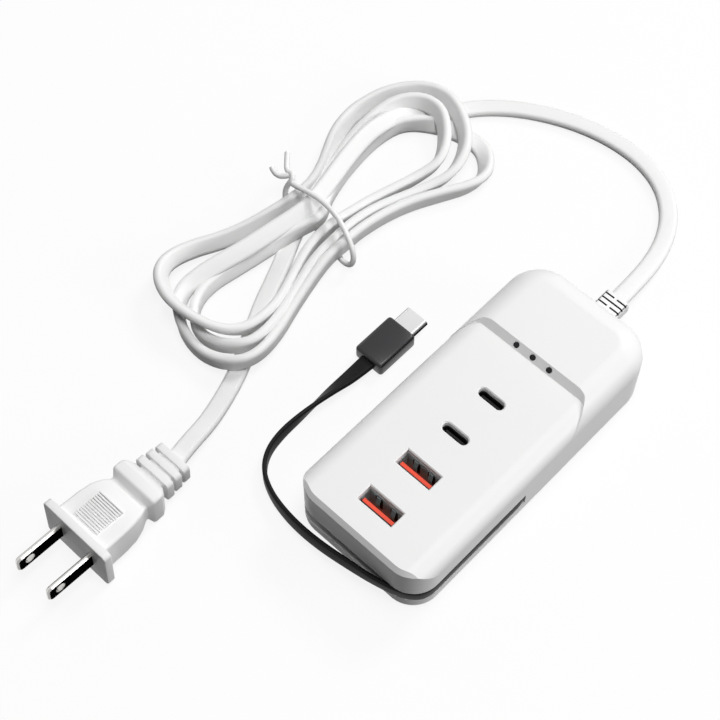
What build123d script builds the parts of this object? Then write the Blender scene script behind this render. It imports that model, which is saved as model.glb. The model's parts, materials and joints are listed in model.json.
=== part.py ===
from build123d import *
import math
import os

# A desktop charger with four ports on top, a captive flat charge lead in a groove round its front,
# and a flat mains cord tied in a hank. Millimetres, +Z up, +Y to the cord's end, the front at -Y.
# The origin is on the table, under the middle of the housing.

# Housing
HOUSING_WIDTH = 47.6
HOUSING_LENGTH = 105.0
CAP_TOP = 24.0
STEP_DROP = 2.0
STEP_RUN = 2.1
STEP_FROM_REAR = 30.9
STEP_HALF = 18.5
STEP_FADE = 13.6
WALL = 2.0
CAP_EDGE_RADIUS = 8.0
FRONT_CORNER_RADIUS = 9.0
REAR_CORNER_RADIUS = 12.0
FRONT_EDGE_BEVEL = 1.3
BASE_EDGE_RADIUS = 1.4
FLOOR = 2.0
PART_LINE = 5.2
FIT = 0.15

# Groove for the charge lead, between the two halves of the housing
GROOVE_HEIGHT = 4.6
GROOVE_LENGTH = 46.2
TONGUE_THICKNESS = 1.4
TONGUE_RISE = 1.6

# Feet and screws
FOOT_DIAMETER = 8.0
FOOT_STAND = 0.6
FOOT_RECESS = 0.8
SCREW_DIAMETER = 2.6
SCREW_HEAD_DIAMETER = 4.4
SCREW_HEAD_HEIGHT = 1.3
SCREW_BITE = 6.0
SCREW_CLEARANCE = 0.2
PILOT_DIAMETER = 2.2
POST_DIAMETER = 5.6
BOSS_DIAMETER = 7.4
BOSS_HEIGHT = 3.8
FRONT_SCREW_X = 15.0
FRONT_SCREW_INSET = 9.5
REAR_SCREW_X = 13.6
REAR_SCREW_INSET = 10.9

# Main board
BOARD_THICKNESS = 1.6
BOARD_GAP = 0.5

# Ports, in a row along the middle of the panel
PORT_PITCH = 15.3
FRONT_PORT_INSET = 11.4
PORT_MOUTH_BEVEL = 0.35
PORT_SHELL_THICKNESS = 0.3
PORT_PANEL_GAP = 0.1
USB_A_MOUTH = (12.6, 5.3)
USB_A_INSIDE = (12.5, 5.12)
USB_A_TONGUE = (11.1, 1.84)
USB_A_TONGUE_OFFSET = -1.3
USB_A_BASE_HEIGHT = 3.0
USB_A_CONTACTS = 4
USB_A_CONTACT_PITCH = 2.5
USB_A_CONTACT = (1.0, 0.2, 6.4)
USB_C_MOUTH = (9.0, 3.0)
USB_C_INSIDE = (8.34, 2.56)
USB_C_TONGUE = (6.7, 0.7)
USB_C_BASE_HEIGHT = 6.0
USB_C_CONTACTS = 6
USB_C_CONTACT_PITCH = 1.0
USB_C_CONTACT = (0.4, 0.12, 3.4)
TONGUE_BELOW_SHELL = 0.3

# Indicators on the step
PIN_DIAMETER = 1.9
PIN_PITCH = 6.14
PIN_CLEARANCE = 0.05
PIN_BELOW_SURFACE = 0.35
PIN_BAR = (16.0, 1.8, 1.2)
LED_CHIP = (1.6, 1.2, 0.7)
LED_GAP = 0.2

# Mains cord, its strain relief and its hank
CORD_WIDTH = 6.0
CORD_THICKNESS = 3.0
CORD_EXIT_Z = 4.5
RELIEF_WIDTH = 8.6
RELIEF_THICKNESS = 5.0
RELIEF_REACH = 12.4
RELIEF_FLANGE_WIDTH = 11.2
RELIEF_FLANGE_LENGTH = 2.4
RELIEF_CORNER = 1.2
SLIT_COUNT = 3
SLIT_PITCH = 1.8
SLIT_WIDTH = 0.6
SLIT_DEPTH = 1.0
SLIT_FROM_END = 1.3
SLIT_BRIDGE = 1.0
HANK_HEIGHT = 10.0
HANK_EDGE_RADIUS = 1.2
LEAD_WIRE_DIAMETER = 1.6

# Wire tie round the hank's waist
TIE_DIAMETER = 1.9
TIE_WIDTH = 29.0
TIE_BITE = 0.3
TIE_CORNER = 4.4
TIE_CENTRE = (-87.2, 24.2)
TIE_TURN = -11.0
TIE_ENDS = [(-7.4, -2.9, 0.3), (-7.8, 4.4, 0.9)]

# Mains plug, lying on its flange and its shoulder
PLUG_X = -58.0
PLUG_FACE_Y = -103.4
FLANGE = (25.5, 2.6, 15.8)
FLANGE_CORNER = 1.0
GRIP_WIDE = (19.4, 12.0)
GRIP_NARROW = (14.2, 6.6)
GRIP_STRAIGHT = 11.6
GRIP_TAPER = 7.2
GRIP_CORNER = 1.6
SHOULDER_WIDE = (17.0, 12.4)
SHOULDER_NARROW = (12.4, 8.6)
SHOULDER_LENGTH = 4.4
SHOULDER_TAPER = 2.0
SHOULDER_CORNER = 1.6
RIDGE_COUNT = 10
RIDGE_PITCH = 0.9
RIDGE_LENGTH = 10.3
RIDGE_SIZE = 0.45
RIDGE_FROM_FLANGE = 2.9
RIB_COUNT = 3
RIB_PITCH = 3.4
RIB_THICKNESS = 2.2
RIB_FIRST = (13.4, 8.6)
RIB_STEP = 0.6
RIB_CORE = (9.6, 5.8)
BLADE_SPACING = 12.7
BLADE_LENGTH = 15.9
BLADE_HEIGHT = 6.35
BLADE_THICKNESS = 1.5
BLADE_ROOT = 9.0
BLADE_HOLE = 3.2
BLADE_HOLE_FROM_FACE = 11.7
BLADE_TIP_BEVEL = 0.5
BLADE_TIP_CORNER = 1.6

# Charge lead and its plug
LEAD_WIDTH = 4.2
LEAD_THICKNESS = 1.4
LEAD_SLOT_ROOM = 1.0
BOOT = (10.8, 15.5, 5.6)
BOOT_CORNER = 1.0
BOOT_PLACE = (-41.2, -2.5)
PLUG_SHELL = (8.25, 2.4)
PLUG_SHELL_LENGTH = 6.65
PLUG_SHELL_THICKNESS = 0.25
PLUG_SHELL_ROOT = 4.0
PLUG_SLOT = (6.9, 0.85)
PLUG_SLOT_DEPTH = 4.6

# Board components behind the ports: their sizes, then x and the distance from the housing's rear end
BULK_CAP = (10.0, 11.4)
BULK_CAP_AT = (13.2, 34.5)
CORE = (16.0, 13.0, 11.4)
CORE_LEG = 3.2
CORE_AT = (2.8, 19.9)
WINDING_OVERHANG = 1.8
SAFETY_CAP = (5.0, 12.0, 10.0)
SAFETY_CAP_AT = (-15.4, 21.5)
CHOKE = (11.0, 5.0, 4.6)
CHOKE_COIL = 0.7
CHOKE_AT = (-9.4, 22.5)
FUSE = (4.0, 8.5)
FUSE_AT = (-7.8, 11.9)
BRIDGE = (4.2, 9.0, 6.2)
BRIDGE_AT = (15.6, 22.9)
SINK = (12.0, 1.5, 10.0)
SINK_AT = (-13.0, 49.1)
SWITCH = (9.0, 2.6, 7.0)
OPTO = (6.4, 4.6, 3.4)
OPTO_AT = (-13.0, 42.9)
DISC_CAP = (6.0, 2.8)
DISC_CAP_AT = (16.2, 16.1)

# Board components beside the ports: their sizes, then x and the distance from the housing's front end
OUTPUT_CAP = (6.3, 9.0)
OUTPUT_CAP_AT = (12.0, 41.0)
INDUCTOR = (7.0, 7.0, 4.2)
INDUCTOR_AT = (12.0, 32.0)
CONTROLLER = (5.0, 5.0, 1.0)
CONTROLLER_AT = (12.0, 22.5)

# Heights and places that follow from the sizes above
BASE_Z = FOOT_STAND
FLOOR_TOP = BASE_Z + FLOOR
GROOVE_TOP = PART_LINE + GROOVE_HEIGHT
PANEL_TOP = CAP_TOP - STEP_DROP
PANEL_EDGE_RADIUS = CAP_EDGE_RADIUS - STEP_DROP
CEILING = PANEL_TOP - WALL
BOARD_BOTTOM = FLOOR_TOP + BOSS_HEIGHT
BOARD_TOP = BOARD_BOTTOM + BOARD_THICKNESS
SHELL_TOP = CEILING - PORT_PANEL_GAP
REAR_Y = HOUSING_LENGTH / 2
FRONT_Y = -HOUSING_LENGTH / 2
TONGUE_INSET = WALL + FIT
INNER_INSET = TONGUE_INSET + TONGUE_THICKNESS
GROOVE_Z = PART_LINE + GROOVE_HEIGHT / 2
STEP_Y = REAR_Y - STEP_FROM_REAR
STEP_FADE_Y = STEP_Y - STEP_FADE
GROOVE_END_Y = FRONT_Y + GROOVE_LENGTH
FRONT_SCREW_Y = FRONT_Y + FRONT_SCREW_INSET
REAR_SCREW_Y = REAR_Y - REAR_SCREW_INSET
FRONT_PORT_Y = FRONT_Y + FRONT_PORT_INSET
PIN_Y = STEP_Y + STEP_RUN / 2
TIE_HEIGHT = HANK_HEIGHT - TIE_BITE
RELIEF_END_Y = REAR_Y + RELIEF_REACH
RELIEF_INNER_Y = REAR_Y - INNER_INSET - FIT
SCREW_PLACES = [
    (-FRONT_SCREW_X, FRONT_SCREW_Y),
    (FRONT_SCREW_X, FRONT_SCREW_Y),
    (-REAR_SCREW_X, REAR_SCREW_Y),
    (REAR_SCREW_X, REAR_SCREW_Y),
]
USB_A_PLACES = {"front": FRONT_PORT_Y, "rear": FRONT_PORT_Y + PORT_PITCH}
USB_C_PLACES = {"front": FRONT_PORT_Y + 2 * PORT_PITCH, "rear": FRONT_PORT_Y + 3 * PORT_PITCH}

# Route of the mains cord from the strain relief to the hank, and from the hank to the plug
CORD_RUN = [
    (0.0, RELIEF_END_Y, CORD_EXIT_Z),
    (-0.3, 74.0, 4.2),
    (-1.4, 84.0, 2.6),
    (-4.0, 94.0, 1.6),
    (-8.8, 102.6, 1.6),
    (-16.8, 109.8, 1.6),
    (-27.4, 113.6, 1.6),
    (-39.0, 114.0, 1.6),
    (-50.8, 111.9, 1.6),
    (-62.0, 107.6, 1.6),
    (-72.4, 101.6, 1.6),
    (-81.4, 94.8, 1.6),
    (-89.0, 87.2, 1.6),
]
CORD_TAIL = [
    (-72.4, -24.0, 1.6),
    (-69.2, -31.6, 1.6),
    (-66.4, -39.0, 1.6),
    (-63.4, -46.6, 1.8),
    (-60.6, -53.8, 3.0),
    (-58.6, -60.0, 4.7),
]

# Outline of the hank and of the holes in its two loops, seen from above
HANK_OUTLINE = [
    (-74.2, 22.0), (-75.6, 38.0), (-66.4, 58.0), (-61.0, 75.0), (-71.0, 88.4), (-94.0, 91.6),
    (-112.4, 77.0), (-111.6, 57.0), (-101.0, 34.0), (-100.4, 18.0), (-103.0, 2.0), (-111.4, -17.0),
    (-103.4, -32.4), (-84.0, -39.0), (-66.6, -29.6), (-65.0, -11.0), (-71.6, 6.0),
]
UPPER_LOOP_HOLE = [
    (-89.6, 38.0), (-95.0, 60.0), (-91.8, 74.6), (-82.8, 77.4), (-77.0, 66.0), (-80.4, 50.0), (-85.8, 38.6),
]
LOWER_LOOP_HOLE = [
    (-88.6, 9.0), (-94.0, -13.0), (-89.6, -24.6), (-79.6, -22.8), (-76.4, -11.0), (-82.4, 4.0), (-85.6, 9.4),
]

# Route of the charge lead: out of the housing, along its groove, round the front and to its plug
LEAD_ROUTE = [
    (18.4, 4.2, GROOVE_Z),
    (18.4, -3.0, GROOVE_Z),
    (22.5, -13.0, GROOVE_Z),
    (22.5, -46.8, GROOVE_Z),
    (18.9, -51.9, GROOVE_Z),
    (10.0, -54.2, 7.2),
    (0.8, -55.6, 6.2),
    (-8.6, -56.3, 5.0),
    (-18.0, -55.9, 3.6),
    (-27.2, -54.0, 2.5),
    (-35.0, -49.8, 2.2),
    (-40.4, -43.6, 2.2),
    (-43.2, -35.6, 2.2),
    (-43.6, -27.0, 2.2),
    (-42.6, -18.6, 2.4),
    (-41.4, -10.5, 2.7),
    (BOOT_PLACE[0], BOOT_PLACE[1], BOOT[2] / 2),
]

BIG = 4 * HOUSING_LENGTH


def outline(inset=0.0):
    """The housing seen from above, moved in by inset."""
    face = Rectangle(HOUSING_WIDTH - 2 * inset, HOUSING_LENGTH - 2 * inset)
    face = fillet(face.vertices().group_by(Axis.Y)[0], FRONT_CORNER_RADIUS - inset)
    return fillet(face.vertices().group_by(Axis.Y)[-1], REAR_CORNER_RADIUS - inset)


def slab(inset, bottom, top):
    """A plate of the housing's outline between two heights."""
    return extrude(Pos(0, 0, bottom) * outline(inset), top - bottom)


def block(size, place, bottom):
    """A box that stands on the height bottom, centred over place."""
    return Pos(place[0], place[1], bottom) * Box(*size, align=(Align.CENTER, Align.CENTER, Align.MIN))


def can(diameter, height, place, bottom):
    """A round can that stands on the height bottom, centred over place."""
    base = (Align.CENTER, Align.CENTER, Align.MIN)
    return Pos(place[0], place[1], bottom) * Cylinder(diameter / 2, height, align=base)


def from_rear(at):
    """A place given by x and the distance from the housing's rear end."""
    return (at[0], REAR_Y - at[1])


def beside_ports(at):
    """The two places, left and right of the ports, at a distance from the housing's front end."""
    return [(-at[0], FRONT_Y + at[1]), (at[0], FRONT_Y + at[1])]


def crowned_bar(inset, top, edge_radius):
    """The housing's bar, rounded along its sides and rear end, and square past its front."""
    rear = REAR_Y - inset
    front = FRONT_Y - FRONT_CORNER_RADIUS
    face = Pos(0, (front + rear) / 2) * Rectangle(HOUSING_WIDTH - 2 * inset, rear - front)
    face = fillet(face.vertices().group_by(Axis.Y)[-1], REAR_CORNER_RADIUS - inset)
    bar = extrude(Pos(0, 0, BASE_Z) * face, top - BASE_Z)
    crown = bar.edges().group_by(Axis.Z)[-1].sort_by(Axis.Y)[1:]
    return fillet(crown, edge_radius)


def panel_zone():
    """The room over the port panel, up to the step, whose ends curve forward and fade into the sides."""
    side = HOUSING_WIDTH / 2 + 0.4
    step_top = STEP_Y + STEP_RUN
    right = TangentArc((side, STEP_FADE_Y), (STEP_HALF, step_top), tangent=(0, 1))
    left = TangentArc((-side, STEP_FADE_Y), (-STEP_HALF, step_top), tangent=(0, 1))
    border = [
        Line((-STEP_HALF, step_top), (STEP_HALF, step_top)),
        right,
        Line((side, STEP_FADE_Y), (side, -HOUSING_LENGTH)),
        Line((side, -HOUSING_LENGTH), (-side, -HOUSING_LENGTH)),
        Line((-side, -HOUSING_LENGTH), (-side, STEP_FADE_Y)),
        left,
    ]
    zone = extrude(make_face(border), 2 * CAP_TOP)
    slope = STEP_RUN / STEP_DROP
    ramp = Polygon(
        (-HOUSING_LENGTH, 0),
        (STEP_Y - slope * PANEL_TOP, 0),
        (STEP_Y + slope * (2 * CAP_TOP - PANEL_TOP), 2 * CAP_TOP),
        (-HOUSING_LENGTH, 2 * CAP_TOP),
        align=None,
    )
    return zone & extrude(Plane.YZ * ramp, HOUSING_WIDTH, both=True)


def front_bevel_cut():
    """What the bevel along the front's top edge takes away."""
    stock = slab(-1.0, PANEL_TOP - FRONT_EDGE_BEVEL, PANEL_TOP + 1.0)
    face = Pos(0, 0, PANEL_TOP - FRONT_EDGE_BEVEL) * outline(0.0)
    keep = extrude(face, FRONT_EDGE_BEVEL + 1.0, taper=45)
    corner_depth = FRONT_CORNER_RADIUS
    front = Pos(0, FRONT_Y, 0) * Box(BIG, 2 * corner_depth, BIG)
    return (stock - keep) & front


def housing_form():
    """The outer form of both halves together, without the groove."""
    form = crowned_bar(0, CAP_TOP, CAP_EDGE_RADIUS)
    form -= panel_zone() - crowned_bar(0, PANEL_TOP, PANEL_EDGE_RADIUS)
    form &= slab(0, BASE_Z, CAP_TOP + 1)
    return form - front_bevel_cut()


def cavity():
    """The room inside the upper housing, with a higher ceiling under the cap."""
    room = crowned_bar(WALL, CEILING, PANEL_EDGE_RADIUS - WALL) & slab(WALL, BASE_Z, CAP_TOP)
    front = STEP_Y + STEP_RUN + WALL
    rear = REAR_Y - CAP_EDGE_RADIUS
    size = (HOUSING_WIDTH - 2 * CAP_EDGE_RADIUS, rear - front, CAP_TOP - WALL - PART_LINE)
    return room + block(size, (0, (front + rear) / 2), PART_LINE)


def mouth(face_at_top, face_at_edge):
    """A port's opening through the panel, with a bevelled edge."""
    hole = extrude(Pos(0, 0, PANEL_TOP) * face_at_top, -2 * WALL)
    edge = extrude(Pos(0, 0, PANEL_TOP) * face_at_edge, -PORT_MOUTH_BEVEL, taper=45)
    return hole + edge


def upper_housing():
    """The upper half: walls, port panel, rear cap, step and screw posts."""
    form = housing_form()
    shell = form - cavity()
    for place in SCREW_PLACES:
        shell += can(POST_DIAMETER, CAP_TOP - BOARD_TOP, place, BOARD_TOP) & form
    for place in SCREW_PLACES:
        shell -= can(PILOT_DIAMETER, SCREW_BITE + 1.0, place, BOARD_TOP)
    bevel = 2 * PORT_MOUTH_BEVEL
    for y in USB_A_PLACES.values():
        wide = Rectangle(USB_A_MOUTH[0] + bevel, USB_A_MOUTH[1] + bevel)
        shell -= Pos(0, y, 0) * mouth(Rectangle(*USB_A_MOUTH), wide)
    for y in USB_C_PLACES.values():
        wide = SlotOverall(USB_C_MOUTH[0] + bevel, USB_C_MOUTH[1] + bevel)
        shell -= Pos(0, y, 0) * mouth(SlotOverall(*USB_C_MOUTH), wide)
    for k in (-1, 0, 1):
        shell -= pin(k, CEILING - WALL, PIN_CLEARANCE)
    below = Box(BIG, BIG, BIG, align=(Align.CENTER, Align.CENTER, Align.MAX))
    ahead = Box(BIG, BIG, BIG, align=(Align.CENTER, Align.MAX, Align.MAX))
    shell -= Pos(0, 0, PART_LINE) * below
    shell -= Pos(0, GROOVE_END_Y, GROOVE_TOP) * ahead
    return shell - relief_notch()


def relief_notch():
    """The opening in the rear wall that the strain relief goes through."""
    width = RELIEF_WIDTH + 2 * FIT
    height = RELIEF_THICKNESS + 2 * FIT
    depth = 2 * (REAR_Y - RELIEF_INNER_Y)
    return Pos(0, REAR_Y, CORD_EXIT_Z) * Box(width, depth, height)


def bottom_cover():
    """The lower half: floor, rim, screw bosses, and the inner wall that is the groove's floor."""
    tray = slab(0, BASE_Z, PART_LINE)
    tray = fillet(tray.edges().group_by(Axis.Z)[0], BASE_EDGE_RADIUS)
    tray -= slab(WALL, FLOOR_TOP, PART_LINE + 1)
    wall_low = slab(TONGUE_INSET, FLOOR_TOP, PART_LINE + TONGUE_RISE)
    wall_high = slab(TONGUE_INSET, FLOOR_TOP, GROOVE_TOP + TONGUE_RISE)
    ahead = Pos(0, GROOVE_END_Y, 0) * Box(BIG, BIG, BIG, align=(Align.CENTER, Align.MAX, Align.CENTER))
    tray += (wall_low + (wall_high & ahead)) - slab(INNER_INSET, FLOOR_TOP, CAP_TOP)
    gap_filler = slab(WALL, FLOOR_TOP, PART_LINE) - slab(TONGUE_INSET, FLOOR_TOP, PART_LINE)
    tray += gap_filler
    for place in SCREW_PLACES:
        tray += can(BOSS_DIAMETER, BOSS_HEIGHT, place, FLOOR_TOP)
    for place in SCREW_PLACES:
        head_room = SCREW_HEAD_HEIGHT + SCREW_CLEARANCE
        tray -= can(FOOT_DIAMETER + 2 * FIT, FOOT_RECESS, place, BASE_Z)
        tray -= can(SCREW_HEAD_DIAMETER + 2 * SCREW_CLEARANCE, head_room, place, BASE_Z + FOOT_RECESS)
        tray -= can(SCREW_DIAMETER + 2 * SCREW_CLEARANCE, BOARD_TOP, place, BASE_Z)
    return tray - relief_notch() - lead_slot()


def lead_slot():
    """The slot in the inner wall that lets the charge lead out into its groove."""
    inner, outer = LEAD_ROUTE[1], LEAD_ROUTE[2]
    middle = ((inner[0] + outer[0]) / 2, (inner[1] + outer[1]) / 2)
    length = math.dist(inner[:2], outer[:2])
    side_room = LEAD_THICKNESS + 2 * LEAD_SLOT_ROOM
    turn = math.degrees(math.atan2(outer[1] - inner[1], outer[0] - inner[0]))
    slot = Box(length + 2 * WALL, side_room, GROOVE_HEIGHT + 2 * TONGUE_RISE)
    return Pos(middle[0], middle[1], GROOVE_Z + TONGUE_RISE) * Rot(0, 0, turn) * slot & Pos(
        HOUSING_WIDTH / 2, 0, PART_LINE
    ) * Box(HOUSING_WIDTH, BIG, BIG, align=(Align.CENTER, Align.CENTER, Align.MIN))


def rubber_foot(place):
    """A foot in its recess, over a screw's head."""
    foot = can(FOOT_DIAMETER, FOOT_STAND + FOOT_RECESS, place, 0)
    return fillet(foot.edges().group_by(Axis.Z)[0], FOOT_STAND / 2)


def housing_screws():
    """Four screws from below, through the cover and the board, into the posts."""
    screws = []
    head_bottom = BASE_Z + FOOT_RECESS + SCREW_CLEARANCE
    seat = head_bottom + SCREW_HEAD_HEIGHT
    for place in SCREW_PLACES:
        head = can(SCREW_HEAD_DIAMETER, SCREW_HEAD_HEIGHT, place, head_bottom)
        shank = can(SCREW_DIAMETER, BOARD_TOP - seat, place, seat)
        thread = can(PILOT_DIAMETER, SCREW_BITE, place, BOARD_TOP)
        cross = block((SCREW_HEAD_DIAMETER / 2, 0.6, 0.6), place, head_bottom)
        cross += block((0.6, SCREW_HEAD_DIAMETER / 2, 0.6), place, head_bottom)
        screws.append(head + shank + thread - cross)
    return Compound(children=screws)


def main_board():
    """The circuit board, on the bosses, with a notch where the charge lead is soldered to its edge."""
    plate = slab(INNER_INSET + BOARD_GAP, BOARD_BOTTOM, BOARD_TOP)
    rear_limit = RELIEF_INNER_Y - RELIEF_FLANGE_LENGTH - BOARD_GAP
    plate -= Pos(0, rear_limit, 0) * Box(BIG, BIG, BIG, align=(Align.CENTER, Align.MIN, Align.CENTER))
    for place in SCREW_PLACES:
        plate -= can(SCREW_DIAMETER + 2 * SCREW_CLEARANCE, BIG, place, 0)
    notch_end = LEAD_ROUTE[0][1]
    notch_side = LEAD_ROUTE[0][0] - LEAD_THICKNESS - BOARD_GAP
    notch_front = LEAD_ROUTE[2][1] - WALL
    notch = Box(BIG, notch_end - notch_front, BIG, align=(Align.MIN, Align.MAX, Align.CENTER))
    return plate - Pos(notch_side, notch_end, 0) * notch


def socket_shell(inside, round_ends):
    """A socket's sheet metal tube, standing on the board, open towards the panel."""
    size = [side + 2 * PORT_SHELL_THICKNESS for side in inside]
    outer = SlotOverall(*size) if round_ends else Rectangle(*size)
    inner = SlotOverall(*inside) if round_ends else Rectangle(*inside)
    return extrude(Pos(0, 0, BOARD_TOP) * (outer - inner), SHELL_TOP - BOARD_TOP)


def socket_tongue(inside, tongue, base_height, offset, round_ends):
    """A socket's insulator: a base that fills the tube, and the tongue on it."""
    fit = 2 * PIN_CLEARANCE
    base = SlotOverall(inside[0] - fit, inside[1] - fit) if round_ends else Rectangle(
        inside[0] - fit, inside[1] - fit
    )
    body = extrude(Pos(0, 0, BOARD_TOP) * base, base_height)
    reach = SHELL_TOP - TONGUE_BELOW_SHELL - BOARD_TOP
    return body + block((*tongue, reach), (0, offset), BOARD_TOP)


def socket_contacts(contact, count, pitch, faces, base_height):
    """Contact strips on a tongue's faces, one row at each given distance from the middle."""
    strips = []
    for face in faces:
        side = math.copysign(contact[1] / 2, face[1])
        for k in range(count):
            x = (k - (count - 1) / 2) * pitch
            strips.append(block(contact, (x, face[0] + side), BOARD_TOP + base_height))
    return Compound(children=strips)


def pin(k, bottom, clearance=0.0):
    """One of the indicator pins, oval so that its end on the step's slope is round."""
    half_depth = PIN_DIAMETER / 2 * math.cos(math.atan(STEP_DROP / STEP_RUN))
    oval = Ellipse(PIN_DIAMETER / 2 + clearance, half_depth + clearance)
    return extrude(Pos(k * PIN_PITCH, PIN_Y, bottom) * oval, CAP_TOP - bottom)


def light_pipe():
    """Three smoked pins, cut to the step's slope, on one bar."""
    step = panel_zone() - crowned_bar(0, PANEL_TOP, PANEL_EDGE_RADIUS)
    under_step = Pos(0, 0, -PIN_BELOW_SURFACE) * (crowned_bar(0, CAP_TOP, CAP_EDGE_RADIUS) - step)
    bottom = BOARD_TOP + LED_CHIP[2] + LED_GAP
    pipe = block(PIN_BAR, (0, PIN_Y), CEILING - 2 * PIN_BAR[2])
    for k in (-1, 0, 1):
        pipe += pin(k, bottom)
    return pipe & under_step


def status_leds():
    """Three lamp chips on the board under the light pipe's pins."""
    return Compound(children=[block(LED_CHIP, (k * PIN_PITCH, PIN_Y), BOARD_TOP) for k in (-1, 0, 1)])


def arc_radii(points):
    """For each inner point of a route, the largest arc that its two runs leave room for."""
    radii = []
    for before, here, after in zip(points, points[1:], points[2:]):
        first = Vector(*here) - Vector(*before)
        second = Vector(*after) - Vector(*here)
        half_turn = math.radians(first.get_angle(second)) / 2
        radii.append(0.45 * min(first.length, second.length) / math.tan(half_turn))
    return radii


def flat_cord(name, points, section_width, section_height):
    """A flat cord swept along a route, its section kept upright."""
    radii = arc_radii(points)
    path = FilletPolyline(*points, radius=radii)
    ahead = path % 0
    start = Plane(origin=points[0], x_dir=Vector(0, 0, 1).cross(ahead), z_dir=ahead)
    round_sides = 0.49 * min(section_width, section_height)
    section = start * RectangleRounded(section_width, section_height, round_sides)
    cord = sweep(section, path)
    expected = section.area * path.length
    print(name, "radii", [round(r, 1) for r in radii])
    print(name, "length", round(path.length, 1), "volume", round(cord.volume), "of", round(expected))
    return cord


def strain_relief():
    """The cord's sleeve: a flange inside the rear wall, and slits that let the sleeve bend."""
    length = RELIEF_END_Y - RELIEF_INNER_Y
    profile = RectangleRounded(RELIEF_WIDTH, RELIEF_THICKNESS, RELIEF_CORNER)
    end = Plane(origin=(0, RELIEF_END_Y, CORD_EXIT_Z), x_dir=(1, 0, 0), z_dir=(0, -1, 0))
    sleeve = extrude(end * profile, length)
    flange = Pos(0, RELIEF_INNER_Y - RELIEF_FLANGE_LENGTH / 2, CORD_EXIT_Z) * Box(
        RELIEF_FLANGE_WIDTH, RELIEF_FLANGE_LENGTH, 2 * (CORD_EXIT_Z - FLOOR_TOP)
    )
    relief = sleeve + flange
    for k in range(SLIT_COUNT):
        y = RELIEF_END_Y - SLIT_FROM_END - k * SLIT_PITCH
        cut = Box(RELIEF_WIDTH + 1, SLIT_WIDTH, SLIT_DEPTH)
        if k % 2 == 0:
            cut -= Box(SLIT_BRIDGE, SLIT_WIDTH, SLIT_DEPTH)
        for side in (-1, 1):
            relief -= Pos(0, y, CORD_EXIT_Z + side * (RELIEF_THICKNESS - SLIT_DEPTH) / 2) * cut
    return relief


def mains_leads():
    """The cord's two wires inside the housing, from the strain relief up to the board's underside."""
    start_y = RELIEF_INNER_Y - RELIEF_FLANGE_LENGTH
    bend_y = start_y - 8.0
    wires = {}
    for name, x in (("live", -CORD_THICKNESS / 2), ("neutral", CORD_THICKNESS / 2)):
        points = [(x, start_y, CORD_EXIT_Z), (x, bend_y, CORD_EXIT_Z), (x, bend_y, BOARD_BOTTOM)]
        path = FilletPolyline(*points, radius=LEAD_WIRE_DIAMETER * 0.7)
        section = Plane(origin=points[0], z_dir=(0, -1, 0)) * Circle(LEAD_WIRE_DIAMETER / 2)
        wires[name] = sweep(section, path)
    return wires


def loop_face(points):
    """A closed outline with each corner rounded as far as its sides allow."""
    radii = arc_radii([points[-1], *points, points[0]])
    return make_face(FilletPolyline(*points, radius=radii, close=True))


def cord_hank():
    """The tied hank as one solid: two loops with a waist, and a seat for the tie."""
    face = loop_face(HANK_OUTLINE) - loop_face(UPPER_LOOP_HOLE) - loop_face(LOWER_LOOP_HOLE)
    hank = extrude(face, HANK_HEIGHT)
    hank = fillet(hank.edges().group_by(Axis.Z)[-1], HANK_EDGE_RADIUS)
    return hank - cord_tie()


def tie_plane():
    """The upright plane across the waist that the tie's loop lies in."""
    turn = math.radians(TIE_TURN)
    across = (math.cos(turn), math.sin(turn), 0)
    along = (math.sin(turn), -math.cos(turn), 0)
    return Plane(origin=(*TIE_CENTRE, (TIE_DIAMETER + TIE_HEIGHT) / 2), x_dir=across, z_dir=along)


def tie_ring():
    """The wire loop round the waist."""
    path = (tie_plane() * RectangleRounded(TIE_WIDTH, TIE_HEIGHT, TIE_CORNER)).wire()
    section = Plane(origin=path @ 0, z_dir=path % 0) * Circle(TIE_DIAMETER / 2)
    return sweep(section, path)


def cord_tie():
    """The wire tie: its loop, and the two short ends that leave it at the upper left."""
    tie = tie_ring()
    corner = TIE_CORNER * (1 - math.sqrt(0.5))
    knot = tie_plane().from_local_coords((corner - TIE_WIDTH / 2, TIE_HEIGHT / 2 - corner, 0))
    for reach in TIE_ENDS:
        path = Line(knot, knot + Vector(*reach))
        tie += sweep(Plane(origin=knot, z_dir=path % 0) * Circle(TIE_DIAMETER / 2), path)
    return tie


def plug_place():
    """The plug's own frame at its face, +Y along its body, tilted to lie on its flange and shoulder."""
    drop = (FLANGE[2] - SHOULDER_WIDE[1]) / 2
    tilt = math.atan(drop / (GRIP_STRAIGHT + GRIP_TAPER + SHOULDER_LENGTH))
    height = FLANGE[2] / 2 * math.cos(tilt) + FLANGE[1] * math.sin(tilt)
    return Pos(PLUG_X, PLUG_FACE_Y, height) * Rot(-math.degrees(tilt), 0, 0)


def along_plug(y):
    """A plane across the plug at a distance from its face."""
    return Plane(origin=(0, y, 0), x_dir=(1, 0, 0), z_dir=(0, 1, 0))


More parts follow.
